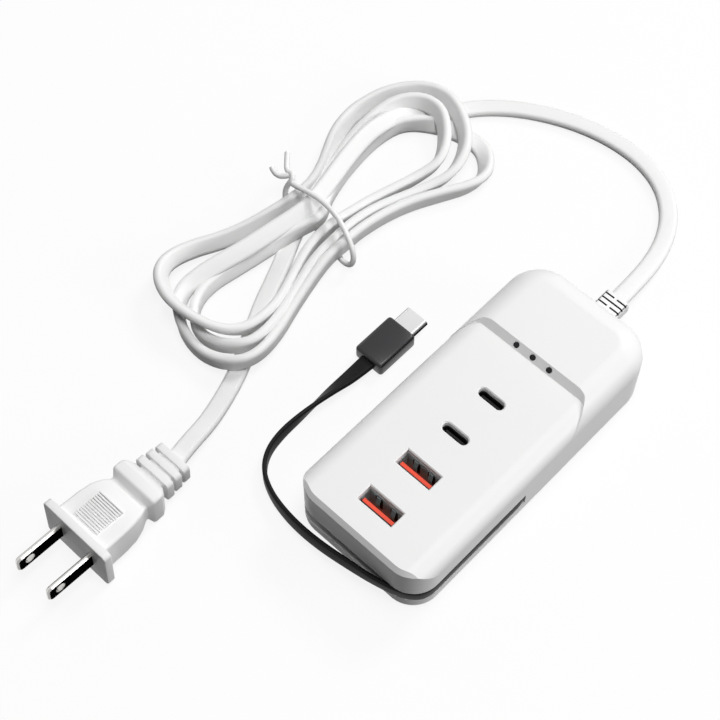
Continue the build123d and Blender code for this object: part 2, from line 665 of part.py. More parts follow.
def plug_body():
    """The moulded plug: flange, grip with ridges, shoulder and bend ribs."""
    grip_start = FLANGE[1]
    taper_start = grip_start + GRIP_STRAIGHT
    shoulder_start = taper_start + GRIP_TAPER
    taper_end = shoulder_start + SHOULDER_LENGTH + SHOULDER_TAPER
    body = extrude(along_plug(0) * RectangleRounded(FLANGE[0], FLANGE[2], FLANGE_CORNER), FLANGE[1])
    wide = RectangleRounded(*GRIP_WIDE, GRIP_CORNER)
    narrow = RectangleRounded(*GRIP_NARROW, GRIP_CORNER)
    body += extrude(along_plug(grip_start) * wide, GRIP_STRAIGHT)
    body += loft([along_plug(taper_start) * wide, along_plug(shoulder_start) * narrow])
    shoulder = RectangleRounded(*SHOULDER_WIDE, SHOULDER_CORNER)
    shoulder_end = RectangleRounded(*SHOULDER_NARROW, SHOULDER_CORNER)
    body += extrude(along_plug(shoulder_start) * shoulder, SHOULDER_LENGTH)
    shoulder_rear = along_plug(shoulder_start + SHOULDER_LENGTH) * shoulder
    body += loft([shoulder_rear, along_plug(taper_end) * shoulder_end])
    core = RectangleRounded(*RIB_CORE, SHOULDER_CORNER)
    body += extrude(along_plug(taper_end) * core, RIB_COUNT * RIB_PITCH)
    for k in range(RIB_COUNT):
        rib = RectangleRounded(RIB_FIRST[0] - k * RIB_STEP, RIB_FIRST[1] - k * RIB_STEP, SHOULDER_CORNER)
        start = taper_end + (k + 1) * RIB_PITCH - RIB_THICKNESS
        body += extrude(along_plug(start) * rib, RIB_THICKNESS)
    for k in range(RIDGE_COUNT):
        y = grip_start + RIDGE_FROM_FLANGE + k * RIDGE_PITCH
        for side in (-1, 1):
            body += Pos(0, y, side * GRIP_WIDE[1] / 2) * Box(RIDGE_LENGTH, RIDGE_SIZE, RIDGE_SIZE)
    for side in (-1, 1):
        body -= Pos(side * BLADE_SPACING / 2, 0, 0) * Box(
            BLADE_THICKNESS, BLADE_ROOT, BLADE_HEIGHT, align=(Align.CENTER, Align.MIN, Align.CENTER)
        )
    return plug_place() * body


def plug_end():
    """How far the plug's last rib is from its face."""
    return FLANGE[1] + GRIP_STRAIGHT + GRIP_TAPER + SHOULDER_LENGTH + SHOULDER_TAPER + RIB_COUNT * RIB_PITCH


def plug_blade(side):
    """A blade with a bevelled tip and a hole, its root moulded into the plug."""
    length = BLADE_ROOT + BLADE_LENGTH
    blade = Pos(0, BLADE_ROOT - length / 2, 0) * Box(BLADE_THICKNESS, length, BLADE_HEIGHT)
    tip = blade.faces().sort_by(Axis.Y)[0]
    blade = fillet(tip.edges().filter_by(Axis.X), BLADE_TIP_CORNER)
    tip = blade.faces().sort_by(Axis.Y)[0]
    blade = chamfer(tip.edges().filter_by(Axis.Z), BLADE_TIP_BEVEL)
    hole = Pos(0, -BLADE_HOLE_FROM_FACE, 0) * Rot(0, 90, 0) * Cylinder(BLADE_HOLE / 2, 2 * BLADE_THICKNESS)
    return plug_place() * Pos(side * BLADE_SPACING / 2, 0, 0) * (blade - hole)


def boot_plane(y):
    """A plane across the charge lead's plug, at a distance from the back of its boot."""
    origin = (BOOT_PLACE[0], BOOT_PLACE[1] + y, BOOT[2] / 2)
    return Plane(origin=origin, x_dir=(1, 0, 0), z_dir=(0, 1, 0))


def usb_c_plug():
    """The charge lead's plug: moulded boot, metal shell and contact insert."""
    boot = extrude(boot_plane(0) * RectangleRounded(BOOT[0], BOOT[2], BOOT_CORNER), BOOT[1])
    ends = boot.faces().sort_by(Axis.Y)
    boot = fillet(ends[0].edges() + ends[-1].edges(), BOOT_CORNER / 2)
    shell_start = BOOT[1] - PLUG_SHELL_ROOT
    shell_length = PLUG_SHELL_ROOT + PLUG_SHELL_LENGTH
    boot -= extrude(boot_plane(shell_start) * SlotOverall(*PLUG_SHELL), shell_length)
    inside = [side - 2 * PLUG_SHELL_THICKNESS for side in PLUG_SHELL]
    shell = extrude(boot_plane(shell_start) * (SlotOverall(*PLUG_SHELL) - SlotOverall(*inside)), shell_length)
    insert = extrude(boot_plane(shell_start) * SlotOverall(*inside), shell_length - PLUG_SHELL_THICKNESS)
    slot_start = BOOT[1] + PLUG_SHELL_LENGTH - PLUG_SHELL_THICKNESS - PLUG_SLOT_DEPTH
    insert -= extrude(boot_plane(slot_start) * SlotOverall(*PLUG_SLOT), PLUG_SLOT_DEPTH + 1)
    return {"boot": boot, "shell": shell, "insert": insert}


def transformer():
    """A ferrite core with two windows, and the winding through them."""
    place = from_rear(CORE_AT)
    window = ((CORE[0] - 3 * CORE_LEG) / 2, CORE[2] - 2 * CORE_LEG)
    offset = (CORE_LEG + window[0]) / 2
    core = block(CORE, place, BOARD_TOP)
    middle = BOARD_TOP + CORE[2] / 2
    for side in (-1, 1):
        hole = Box(window[0], 2 * CORE[1], window[1])
        core -= Pos(place[0] + side * offset, place[1], middle) * hole
    length = CORE[1] + 2 * WINDING_OVERHANG
    winding = Pos(*place, middle) * Box(CORE_LEG + 2 * window[0], length, window[1])
    return core, winding - core


def mains_choke():
    """A ring core on edge, with a winding on each side."""
    diameter, width, hole = CHOKE
    gap = diameter / 5
    place = Pos(*from_rear(CHOKE_AT), BOARD_TOP + diameter / 2) * Rot(0, 90, 0)
    ring = Cylinder(diameter / 2, width) - Cylinder(hole / 2, 2 * width)
    coil = Cylinder(diameter / 2, width + 2 * CHOKE_COIL) - Cylinder(hole / 2 - CHOKE_COIL, 3 * width)
    coil -= ring
    coil -= Box(gap, 2 * diameter, 3 * width)
    return place * ring, place * coil


def board_parts():
    """Everything that stands on the main board behind and between the sockets."""
    parts = {}
    parts["transformer_core"], parts["transformer_winding"] = transformer()
    parts["mains_choke_core"], parts["mains_choke_winding"] = mains_choke()
    x, y = from_rear(BULK_CAP_AT)
    for k, place in enumerate([(-x, y), (x, y)], 1):
        cap = can(*BULK_CAP, place, BOARD_TOP)
        parts[f"bulk_capacitor_{k}"] = fillet(cap.edges().group_by(Axis.Z)[-1], BULK_CAP[0] / 16)
    for k, place in enumerate(beside_ports(OUTPUT_CAP_AT), 1):
        cap = can(*OUTPUT_CAP, place, BOARD_TOP)
        parts[f"output_capacitor_{k}"] = fillet(cap.edges().group_by(Axis.Z)[-1], OUTPUT_CAP[0] / 12)
    for k, place in enumerate(beside_ports(INDUCTOR_AT), 1):
        coil = block(INDUCTOR, place, BOARD_TOP)
        parts[f"output_inductor_{k}"] = chamfer(coil.edges().filter_by(Axis.Z), INDUCTOR[0] / 9)
    for k, place in enumerate(beside_ports(CONTROLLER_AT), 1):
        parts[f"port_controller_{k}"] = block(CONTROLLER, place, BOARD_TOP)
    film = block(SAFETY_CAP, from_rear(SAFETY_CAP_AT), BOARD_TOP)
    parts["safety_capacitor"] = fillet(film.edges().filter_by(Axis.Z), SAFETY_CAP[0] / 10)
    parts["fuse"] = can(*FUSE, from_rear(FUSE_AT), BOARD_TOP)
    parts["bridge_rectifier"] = block(BRIDGE, from_rear(BRIDGE_AT), BOARD_TOP)
    x, y = from_rear(SINK_AT)
    parts["heat_sink"] = block(SINK, (x, y), BOARD_TOP)
    parts["power_switch"] = block(SWITCH, (x, y + (SINK[1] + SWITCH[1]) / 2), BOARD_TOP)
    parts["optocoupler"] = block(OPTO, from_rear(OPTO_AT), BOARD_TOP)
    disc = Rot(90, 0, 0) * Cylinder(DISC_CAP[0] / 2, DISC_CAP[1])
    parts["bridging_capacitor"] = Pos(*from_rear(DISC_CAP_AT), BOARD_TOP + DISC_CAP[0] / 2) * disc
    return parts


def sockets():
    """The four sockets, each with its shell, tongue and contacts."""
    parts = {}
    tongue_faces = [(USB_A_TONGUE_OFFSET + USB_A_TONGUE[1] / 2, 1)]
    both_faces = [(USB_C_TONGUE[1] / 2, 1), (-USB_C_TONGUE[1] / 2, -1)]
    for name, y in USB_A_PLACES.items():
        place = Pos(0, y, 0)
        tongue = socket_tongue(USB_A_INSIDE, USB_A_TONGUE, USB_A_BASE_HEIGHT, USB_A_TONGUE_OFFSET, False)
        strips = socket_contacts(
            USB_A_CONTACT, USB_A_CONTACTS, USB_A_CONTACT_PITCH, tongue_faces, USB_A_BASE_HEIGHT
        )
        parts[f"usb_a_{name}_shell"] = place * socket_shell(USB_A_INSIDE, False)
        parts[f"usb_a_{name}_tongue"] = place * tongue
        parts[f"usb_a_{name}_contacts"] = place * strips
    for name, y in USB_C_PLACES.items():
        place = Pos(0, y, 0)
        tongue = socket_tongue(USB_C_INSIDE, USB_C_TONGUE, USB_C_BASE_HEIGHT, 0, True)
        strips = socket_contacts(
            USB_C_CONTACT, USB_C_CONTACTS, USB_C_CONTACT_PITCH, both_faces, USB_C_BASE_HEIGHT
        )
        parts[f"usb_c_{name}_shell"] = place * socket_shell(USB_C_INSIDE, True)
        parts[f"usb_c_{name}_tongue"] = place * tongue
        parts[f"usb_c_{name}_contacts"] = place * strips
    return parts


def cords():
    """The mains cord with its hank, tie and plug, and the charge lead with its plug."""
    parts = {}
    hank = cord_hank()
    parts["cord_hank"] = hank
    parts["cord_tie"] = cord_tie()
    run = flat_cord("mains_cord_run", CORD_RUN, CORD_WIDTH, CORD_THICKNESS)
    parts["mains_cord_run"] = run - hank - strain_relief()
    plug = plug_body()
    parts["plug_body"] = plug
    plug_rear = plug_place() * Pos(0, plug_end(), 0)
    tail = flat_cord("mains_cord_tail", [*CORD_TAIL, tuple(plug_rear.position)], CORD_WIDTH, CORD_THICKNESS)
    parts["mains_cord_tail"] = tail - hank - plug
    parts["plug_blade_left"] = plug_blade(-1)
    parts["plug_blade_right"] = plug_blade(1)
    for name, solid in usb_c_plug().items():
        parts[f"usb_c_plug_{name}"] = solid
    lead = flat_cord("charge_lead", LEAD_ROUTE, LEAD_THICKNESS, LEAD_WIDTH)
    parts["charge_lead"] = lead - parts["usb_c_plug_boot"]
    return parts


def all_parts():
    """Every piece of the charger, by its name."""
    parts = {"upper_housing": upper_housing(), "bottom_cover": bottom_cover()}
    for k, place in enumerate(SCREW_PLACES, 1):
        parts[f"rubber_foot_{k}"] = rubber_foot(place)
    parts["housing_screws"] = housing_screws()
    parts["main_board"] = main_board()
    parts["light_pipe"] = light_pipe()
    parts["status_leds"] = status_leds()
    parts["cord_strain_relief"] = strain_relief()
    for name, wire in mains_leads().items():
        parts[f"{name}_lead"] = wire
    parts.update(sockets())
    parts.update(board_parts())
    parts.update(cords())
    return parts


def main():
    """Write each piece to its own file."""
    os.makedirs("parts", exist_ok=True)
    for name, solid in all_parts().items():
        export_step(solid, f"parts/{name}.step")


main()
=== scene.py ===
"""Dresses the desktop charger: its cords and tie, its finishes, the studio and the camera."""

import json
import logging
import math
from collections.abc import Callable
from dataclasses import dataclass, field
from enum import Enum

import bpy
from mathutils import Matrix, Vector


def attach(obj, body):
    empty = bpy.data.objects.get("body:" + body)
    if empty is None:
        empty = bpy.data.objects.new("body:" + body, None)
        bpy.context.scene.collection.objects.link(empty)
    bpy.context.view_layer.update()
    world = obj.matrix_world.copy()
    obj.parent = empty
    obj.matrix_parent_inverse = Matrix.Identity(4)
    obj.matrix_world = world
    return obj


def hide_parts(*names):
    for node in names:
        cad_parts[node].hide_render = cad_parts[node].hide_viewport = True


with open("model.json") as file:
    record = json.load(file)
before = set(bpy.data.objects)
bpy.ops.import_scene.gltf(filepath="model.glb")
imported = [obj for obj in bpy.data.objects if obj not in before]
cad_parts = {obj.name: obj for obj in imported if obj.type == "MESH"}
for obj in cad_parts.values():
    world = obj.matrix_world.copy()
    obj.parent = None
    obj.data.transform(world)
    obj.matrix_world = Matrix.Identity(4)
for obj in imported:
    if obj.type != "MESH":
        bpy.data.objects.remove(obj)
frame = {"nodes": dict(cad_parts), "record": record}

LOG = logging.getLogger("charger")
MM = 0.001
BODY = "root"

NOISE_ROUGHNESS = 0.6
CLOUD_SCALE = 35.0
CLOUD_DETAIL = 2.0
CLOUD_MIDDLE = 0.5
ROUGHNESS_SWING = 0.12
COAT_ROUGHNESS = 0.12
BUMP_STRENGTH = 0.35
# How squarely a surface faces along its axis where its painted shade starts and where it is full.
FLANK_SHADE_START, FLANK_SHADE_FULL = 0.6, 0.9
# Where the painted shade in a block's slits starts and is full, how it fades towards the end face, and its
# colour.
SLIT_SURFACE, SLIT_DEEP, SLIT_FADE = 0.97, 0.9, 0.02
SLIT_SHADE = (0.035, 0.035, 0.035)

FACING = 0.99
SQUARE_ON = 0.999
SAME_PLACE = 1e-6
SMOOTH_ANGLE = 40.0
CURVE_RESOLUTION = 8
PROFILE_ROUND = 0.46
PROFILE_STEPS = 4

Point = tuple[float, float, float]
RoutePoint = tuple[float, float, float, float]
Colour = tuple[float, float, float]
Tree = tuple[bpy.types.Nodes, bpy.types.NodeLinks]


class Lie(Enum):
    """How a flat cord lies at a point of its route: the turn of its wide side, in degrees."""

    FLAT = 0.0
    LEANING = -45.0
    ON_EDGE = -90.0


class Surface(Enum):
    """The kinds of fine surface detail that the finishes have."""

    MOULDED = "moulded"
    BRUSHED = "brushed"
    SPECKLED = "speckled"


class Axis(Enum):
    """The axis along which the sides face that a finish paints darker as painted shade."""

    ACROSS = "X"
    ALONG = "Y"


@dataclass(frozen=True)
class Slits:
    """A block whose slits are painted dark as their shade: its middle, its half sizes and where its end
    face is, in metres.
    """

    middle: Point
    half: Point
    end: float


@dataclass(frozen=True)
class Finish:
    """A named finish of the charger's pieces.

    Colours are linear. grain_scale counts details per metre, and grain_depth is in metres. flank is the
    near-black colour painted as shade and dark reflection on the sides that face along flank_shade_axis,
    and slits mark where shade is painted into a block's slits.
    """

    name: str
    colour: Colour
    roughness: float
    surface: Surface = Surface.MOULDED
    metallic: float = 0.0
    coat: float = 0.0
    specular: float = 0.5
    tone_shift: float = 0.03
    grain_scale: float = 1400.0
    grain_depth: float = 0.00002
    # The next three fields give where shade is painted near black: on sides facing along an axis, or in
    # slits.
    flank_shade: Colour | None = None
    flank_shade_axis: Axis = Axis.ACROSS
    slits: Slits | None = None


# The stretch of each surface's pattern along the three axes, and its detail
SURFACE_PATTERNS: dict[Surface, tuple[Point, float]] = {
    Surface.MOULDED: ((1.0, 1.0, 1.0), 3.0),
    Surface.BRUSHED: ((1.0, 14.0, 14.0), 4.0),
    Surface.SPECKLED: ((1.0, 1.0, 1.0), 9.0),
}


def calculate(tree: Tree, operation: str, *values: bpy.types.NodeSocket | float) -> bpy.types.NodeSocket:
    """Adds a Math node.

    Args:
        tree: the nodes and links to add to.
        operation: the node's operation.
        values: its inputs in order, each a socket or a number.

    Returns:
        The result's socket.
    """
    nodes, links = tree
    made = nodes.new("ShaderNodeMath")
    made.operation = operation
    for place, value in zip(made.inputs, values):
        if isinstance(value, bpy.types.NodeSocket):
            links.new(value, place)
        else:
            place.default_value = value
    return made.outputs[0]


class FinishShop:
    """Makes the shared node groups once, and a material for each finish."""

    def __init__(self) -> None:
        """Builds one node group for each kind of surface.

        A finish's material is made the first time that it is asked for, and kept by the finish's name.
        """
        self.groups: dict[Surface, bpy.types.NodeTree] = {
            kind: self.surface_group(f"{kind.value}_surface", *pattern)
            for kind, pattern in SURFACE_PATTERNS.items()
        }
        self.made: dict[str, bpy.types.Material] = {}

    def surface_group(self, name: str, stretch: Point, detail: float) -> bpy.types.NodeTree:
        """Builds a node group that varies colour and roughness and gives a height.

        Args:
            name: the group's name.
            stretch: how much finer the pattern is along each axis.
            detail: the noise's detail.

        Returns:
            The node group.
        """
        tree = bpy.data.node_groups.new(name, "ShaderNodeTree")
        tree.interface.new_socket("Base", in_out="INPUT", socket_type="NodeSocketColor")
        for value in ("Roughness", "Tone Shift", "Scale"):
            tree.interface.new_socket(value, in_out="INPUT", socket_type="NodeSocketFloat")
        tree.interface.new_socket("Colour", in_out="OUTPUT", socket_type="NodeSocketColor")
        for value in ("Roughness", "Height"):
            tree.interface.new_socket(value, in_out="OUTPUT", socket_type="NodeSocketFloat")
        nodes, links = tree.nodes, tree.links
        source = nodes.new("NodeGroupInput")
        target = nodes.new("NodeGroupOutput")
        place = nodes.new("ShaderNodeTexCoord")
        mapping = nodes.new("ShaderNodeMapping")
        mapping.inputs["Scale"].default_value = stretch
        links.new(place.outputs["Object"], mapping.inputs["Vector"])
        fine = nodes.new("ShaderNodeTexNoise")
        fine.inputs["Detail"].default_value = detail
        fine.inputs["Roughness"].default_value = NOISE_ROUGHNESS
        links.new(mapping.outputs["Vector"], fine.inputs["Vector"])
        links.new(source.outputs["Scale"], fine.inputs["Scale"])
        broad = nodes.new("ShaderNodeTexNoise")
        broad.inputs["Scale"].default_value = CLOUD_SCALE
        broad.inputs["Detail"].default_value = CLOUD_DETAIL
        links.new(place.outputs["Object"], broad.inputs["Vector"])
        cloud = calculate((nodes, links), "SUBTRACT", broad.outputs["Fac"], CLOUD_MIDDLE)
        shift = calculate((nodes, links), "MULTIPLY_ADD", cloud, source.outputs["Tone Shift"], 1.0)
        tint = nodes.new("ShaderNodeVectorMath")
        tint.operation = "SCALE"
        links.new(source.outputs["Base"], tint.inputs[0])
        links.new(shift, tint.inputs["Scale"])
        links.new(tint.outputs[0], target.inputs["Colour"])
        base_rough = source.outputs["Roughness"]
        rough = calculate((nodes, links), "MULTIPLY_ADD", cloud, ROUGHNESS_SWING, base_rough)
        links.new(rough, target.inputs["Roughness"])
        links.new(fine.outputs["Fac"], target.inputs["Height"])
        return tree

    def material(self, finish: Finish) -> bpy.types.Material:
        """Gives the material of a finish, made the first time.

        Args:
            finish: the finish.

        Returns:
            Its material.
        """
        if finish.name in self.made:
            return self.made[finish.name]
        made = bpy.data.materials.new(finish.name)
        made.use_nodes = True
        nodes, links = made.node_tree.nodes, made.node_tree.links
        shader = nodes["Principled BSDF"]
        shader.inputs["Metallic"].default_value = finish.metallic
        shader.inputs["Coat Weight"].default_value = finish.coat
        shader.inputs["Coat Roughness"].default_value = COAT_ROUGHNESS
        shader.inputs["Specular IOR Level"].default_value = finish.specular
        detail = nodes.new("ShaderNodeGroup")
        detail.node_tree = self.groups[finish.surface]
        detail.inputs["Base"].default_value = (*finish.colour, 1.0)
        detail.inputs["Roughness"].default_value = finish.roughness
        detail.inputs["Tone Shift"].default_value = finish.tone_shift
        detail.inputs["Scale"].default_value = finish.grain_scale
        # Painted shade: what the mask marks takes a near-black colour in place of the finish's own, and on
        # metal it also loses its metal, as a painted dark reflection.
        mask = None
        if finish.flank_shade:
            mask = self.flank_shade_mask((nodes, links), finish.flank_shade_axis)
        if finish.slits:
            mask = self.slit_shade_mask((nodes, links), finish.slits)
        if mask:
            dark = nodes.new("ShaderNodeMix")
            dark.data_type = "RGBA"
            dark.inputs["B"].default_value = (*(finish.flank_shade or SLIT_SHADE), 1.0)
            links.new(mask, dark.inputs["Factor"])
            links.new(detail.outputs["Colour"], dark.inputs["A"])
            links.new(dark.outputs["Result"], shader.inputs["Base Color"])
            if finish.metallic:
                bare = calculate((nodes, links), "SUBTRACT", finish.metallic, mask)
                links.new(bare, shader.inputs["Metallic"])
        else:
            links.new(detail.outputs["Colour"], shader.inputs["Base Color"])
        links.new(detail.outputs["Roughness"], shader.inputs["Roughness"])
        bump = nodes.new("ShaderNodeBump")
        bump.inputs["Strength"].default_value = BUMP_STRENGTH
        bump.inputs["Distance"].default_value = finish.grain_depth
        links.new(detail.outputs["Height"], bump.inputs["Height"])
        links.new(bump.outputs["Normal"], shader.inputs["Normal"])
        self.made[finish.name] = made
        return made

    def ramp(
        self, tree: Tree, value: bpy.types.NodeSocket, low: float, high: float
    ) -> bpy.types.NodeSocket:
        """Makes a soft step from 0 to 1.

        Args:
            tree: the nodes and links to add to.
            value: what the step goes by.
            low: where it starts.
            high: where it ends.

        Returns:
            The step's socket.
        """
        nodes, links = tree
        step = nodes.new("ShaderNodeMapRange")
        step.interpolation_type = "SMOOTHSTEP"
        step.inputs["From Min"].default_value = low
        step.inputs["From Max"].default_value = high
        links.new(value, step.inputs["Value"])
        return step.outputs["Result"]

    def flank_shade_mask(self, tree: Tree, axis: Axis) -> bpy.types.NodeSocket:
        """Marks the surfaces that face one way or the other along an axis, where shade is painted.

        Args:
            tree: the material's nodes and links.
            axis: the axis.

        Returns:
            The mask's socket.
        """
        nodes, links = tree
        shape = nodes.new("ShaderNodeNewGeometry")
        parts = nodes.new("ShaderNodeSeparateXYZ")
        links.new(shape.outputs["True Normal"], parts.inputs[0])
        size = calculate(tree, "ABSOLUTE", parts.outputs[axis.value])
        return self.ramp(tree, size, FLANK_SHADE_START, FLANK_SHADE_FULL)

    def slit_shade_mask(self, tree: Tree, slits: Slits) -> bpy.types.NodeSocket:
        """Marks what lies deeper than a block's outer surface, short of its end face, where shade is
        painted.

        Args:
            tree: the material's nodes and links.
            slits: the block.

        Returns:
            The mask's socket.
        """
        nodes, links = tree
        place = nodes.new("ShaderNodeTexCoord")
        mapping = nodes.new("ShaderNodeMapping")
        mapping.vector_type = "TEXTURE"
        mapping.inputs["Location"].default_value = slits.middle
        mapping.inputs["Scale"].default_value = slits.half
        links.new(place.outputs["Object"], mapping.inputs["Vector"])
        parts = nodes.new("ShaderNodeSeparateXYZ")
        links.new(mapping.outputs["Vector"], parts.inputs[0])
        sizes = [calculate(tree, "ABSOLUTE", parts.outputs[axis]) for axis in ("X", "Z")]
        deep = self.ramp(tree, calculate(tree, "MAXIMUM", *sizes), SLIT_SURFACE, SLIT_DEEP)
        behind = self.ramp(tree, parts.outputs["Y"], slits.end, slits.end - SLIT_FADE)
        return calculate(tree, "MULTIPLY", deep, behind)

    def dress(self, piece: bpy.types.Object, finish: Finish) -> None:
        """Gives a piece one finish all over.

        Args:
            piece: the object to dress.
            finish: its finish.
        """
        piece.data.materials.clear()
        piece.data.materials.append(self.material(finish))


WHITE_SHELL = Finish("white_shell", (0.87, 0.87, 0.868), 0.34, specular=0.16, grain_depth=0.000006)
WHITE_CORD = Finish("white_cord_sheath", (0.87, 0.87, 0.866), 0.42, specular=0.2, grain_scale=900.0)
WHITE_TIE = Finish("white_tie_sheath", (0.87, 0.87, 0.866), 0.38, specular=0.35)
# The relief's slits are painted near black as the shade inside them.
WHITE_RELIEF = Finish(
    "white_relief", (0.86, 0.86, 0.856), 0.42,
    slits=Slits((0.0, 0.06, 0.0045), (0.0043, 0.01, 0.0025), 0.46),
)
BLACK_SHEATH = Finish("black_lead_sheath", (0.009, 0.009, 0.01), 0.45, specular=0.1)
# The boot's sides that face across are painted near black, as painted shade in place of their pale grazing
# reflection.
CHARCOAL = Finish(
    "charcoal_boot", (0.03, 0.03, 0.032), 0.26, specular=0.36, grain_depth=0.000006,
    flank_shade=(0.004, 0.004, 0.004),
)
BLACK_PLASTIC = Finish("black_plastic", (0.008, 0.008, 0.008), 0.4, specular=0.2)
PORT_STEEL = Finish("port_steel", (0.5, 0.57, 0.58), 0.5, Surface.BRUSHED, specular=0.1)
SPRING_STEEL = Finish("spring_steel", (0.42, 0.48, 0.49), 0.45, Surface.BRUSHED, specular=0.2)
# The tongue's faces along the port are painted near black, as painted shade.
ORANGE = Finish(
    "orange_tongue", (0.8, 0.075, 0.035), 0.4, specular=0.3,
    flank_shade=(0.012, 0.012, 0.012), flank_shade_axis=Axis.ALONG,
)
SMOKED = Finish("smoked_pipe", (0.006, 0.006, 0.007), 0.2, specular=0.3)
LAMP = Finish("lamp_chip", (0.8, 0.72, 0.42), 0.3)
STEEL = Finish("plated_steel", (0.66, 0.66, 0.66), 0.26, Surface.BRUSHED, metallic=1.0, grain_scale=700.0)
# The blades' flat sides are painted near black and not metallic, as a painted dark reflection.
NICKEL = Finish(
    "nickel_blade", (0.72, 0.71, 0.69), 0.2, Surface.BRUSHED, metallic=1.0, specular=0.0,
    grain_scale=500.0, flank_shade=(0.003, 0.003, 0.003),
)
# The shell's sides that face across are painted near black and not metallic, as a painted dark reflection.
PLUG_STEEL = Finish(
    "plug_shell_steel", (0.74, 0.74, 0.74), 0.24, Surface.BRUSHED, metallic=1.0, specular=0.0,
    grain_scale=700.0, flank_shade=(0.006, 0.006, 0.006),
)
GOLD = Finish("gold_contact", (0.83, 0.6, 0.24), 0.22, Surface.BRUSHED, metallic=1.0)
COPPER = Finish("lacquered_copper", (0.7, 0.27, 0.12), 0.3, Surface.BRUSHED, metallic=1.0)
BOARD = Finish("solder_mask", (0.012, 0.12, 0.045), 0.38, Surface.SPECKLED, coat=0.3, tone_shift=0.3)
FERRITE = Finish("ferrite", (0.03, 0.03, 0.032), 0.6, Surface.SPECKLED, tone_shift=0.2)
YELLOW = Finish("yellow_tape", (0.68, 0.42, 0.03), 0.42, tone_shift=0.1)
SLEEVE = Finish("capacitor_sleeve", (0.012, 0.014, 0.03), 0.28)
SINK = Finish("sink_sheet", (0.6, 0.6, 0.61), 0.35, Surface.BRUSHED, metallic=1.0)
BLUE = Finish("blue_disc", (0.02, 0.07, 0.35), 0.3)
RED_WIRE = Finish("red_wire", (0.45, 0.012, 0.01), 0.42)
GREY_RUBBER = Finish("grey_rubber", (0.26, 0.26, 0.26), 0.75, Surface.SPECKLED, tone_shift=0.1)

SLOT_FINISHES: dict[str, Finish] = {
    "white_housing": WHITE_SHELL,
    "white_cord": WHITE_CORD,
    "white_tie": WHITE_TIE,
    "black_cord": BLACK_SHEATH,
    "charcoal_boot": CHARCOAL,
    "black_plastic": BLACK_PLASTIC,
    "orange_tongue": ORANGE,
    "smoked_pipe": SMOKED,
    "lamp_chip": LAMP,
    "steel": STEEL,
    "nickel": NICKEL,
    "gold_contact": GOLD,
    "copper": COPPER,
    "circuit_board": BOARD,
    "ferrite": FERRITE,
    "yellow_tape": YELLOW,
    "capacitor_sleeve": SLEEVE,
    "sink_aluminium": SINK,
    "disc_blue": BLUE,
    "wire_red": RED_WIRE,
    "wire_black": BLACK_SHEATH,
    "foot_rubber": GREY_RUBBER,
}
NODE_FINISHES: dict[str, Finish] = {
    "usb_a_front_shell": PORT_STEEL,
    "usb_a_rear_shell": PORT_STEEL,
    "usb_c_front_shell": BLACK_PLASTIC,
    "usb_c_rear_shell": BLACK_PLASTIC,
    "usb_c_plug_shell": PLUG_STEEL,
    "cord_strain_relief": WHITE_RELIEF,
}


@dataclass(frozen=True)
class Rounding:
    """How edges are rounded: a width in millimetres, segments, and the sharpness in degrees to start at."""

    width: float
    segments: int
    angle: float = 0.0


def metres(point: Point) -> Vector:
    """Turns a point in millimetres into metres."""
    return Vector(point) * MM


def deselect() -> None:
    """Leaves nothing selected."""
    bpy.ops.object.select_all(action="DESELECT")


def add_block(name: str, size: Point, place: Point) -> bpy.types.Object:
    """Adds a block at its size and place.

    Args:
        name: the new object's name.
        size: its sides in millimetres.
        place: its middle in millimetres.

    Returns:
        The block, selected and active.
    """
    deselect()
    bpy.ops.mesh.primitive_cube_add(size=1.0)
    made = bpy.context.object
    made.name = name
    made.data.name = name
    made.scale = metres(size)
    made.location = metres(place)
    bpy.ops.object.transform_apply(location=True, rotation=True, scale=True)
    return made


def edit_faces(piece: bpy.types.Object, wanted: Callable[[bpy.types.MeshPolygon], bool]) -> None:
    """Goes into edit mode with only the wanted faces selected.

    Args:
        piece: the active mesh object.
        wanted: says which faces to select.
    """
    bpy.ops.object.mode_set(mode="EDIT")
    bpy.ops.mesh.select_mode(type="FACE")
    bpy.ops.mesh.select_all(action="DESELECT")
    bpy.ops.object.mode_set(mode="OBJECT")
    for face in piece.data.polygons:
        face.select = wanted(face)
    bpy.ops.object.mode_set(mode="EDIT")


def edit_edges(piece: bpy.types.Object, wanted: Callable[[Vector, Vector], bool]) -> None:
    """Goes into edit mode with only the wanted edges selected.

    Args:
        piece: the active mesh object.
        wanted: says from an edge's two ends whether to select it.
    """
    bpy.ops.object.mode_set(mode="EDIT")
    bpy.ops.mesh.select_mode(type="EDGE")
    bpy.ops.mesh.select_all(action="DESELECT")
    bpy.ops.object.mode_set(mode="OBJECT")
    spots = piece.data.vertices
    for edge in piece.data.edges:
        edge.select = wanted(spots[edge.vertices[0]].co, spots[edge.vertices[1]].co)
    bpy.ops.object.mode_set(mode="EDIT")


def bevel_selected(edges: Rounding) -> None:
    """Rounds the selected edges and leaves edit mode."""
    bpy.ops.mesh.bevel(offset=edges.width * MM, segments=edges.segments, affect="EDGES", clamp_overlap=True)
    bpy.ops.object.mode_set(mode="OBJECT")


def extrude_selected(move: Point) -> None:
    """Extrudes the selected faces by a move in millimetres."""
    bpy.ops.mesh.extrude_region_move(TRANSFORM_OT_translate={"value": metres(move)})


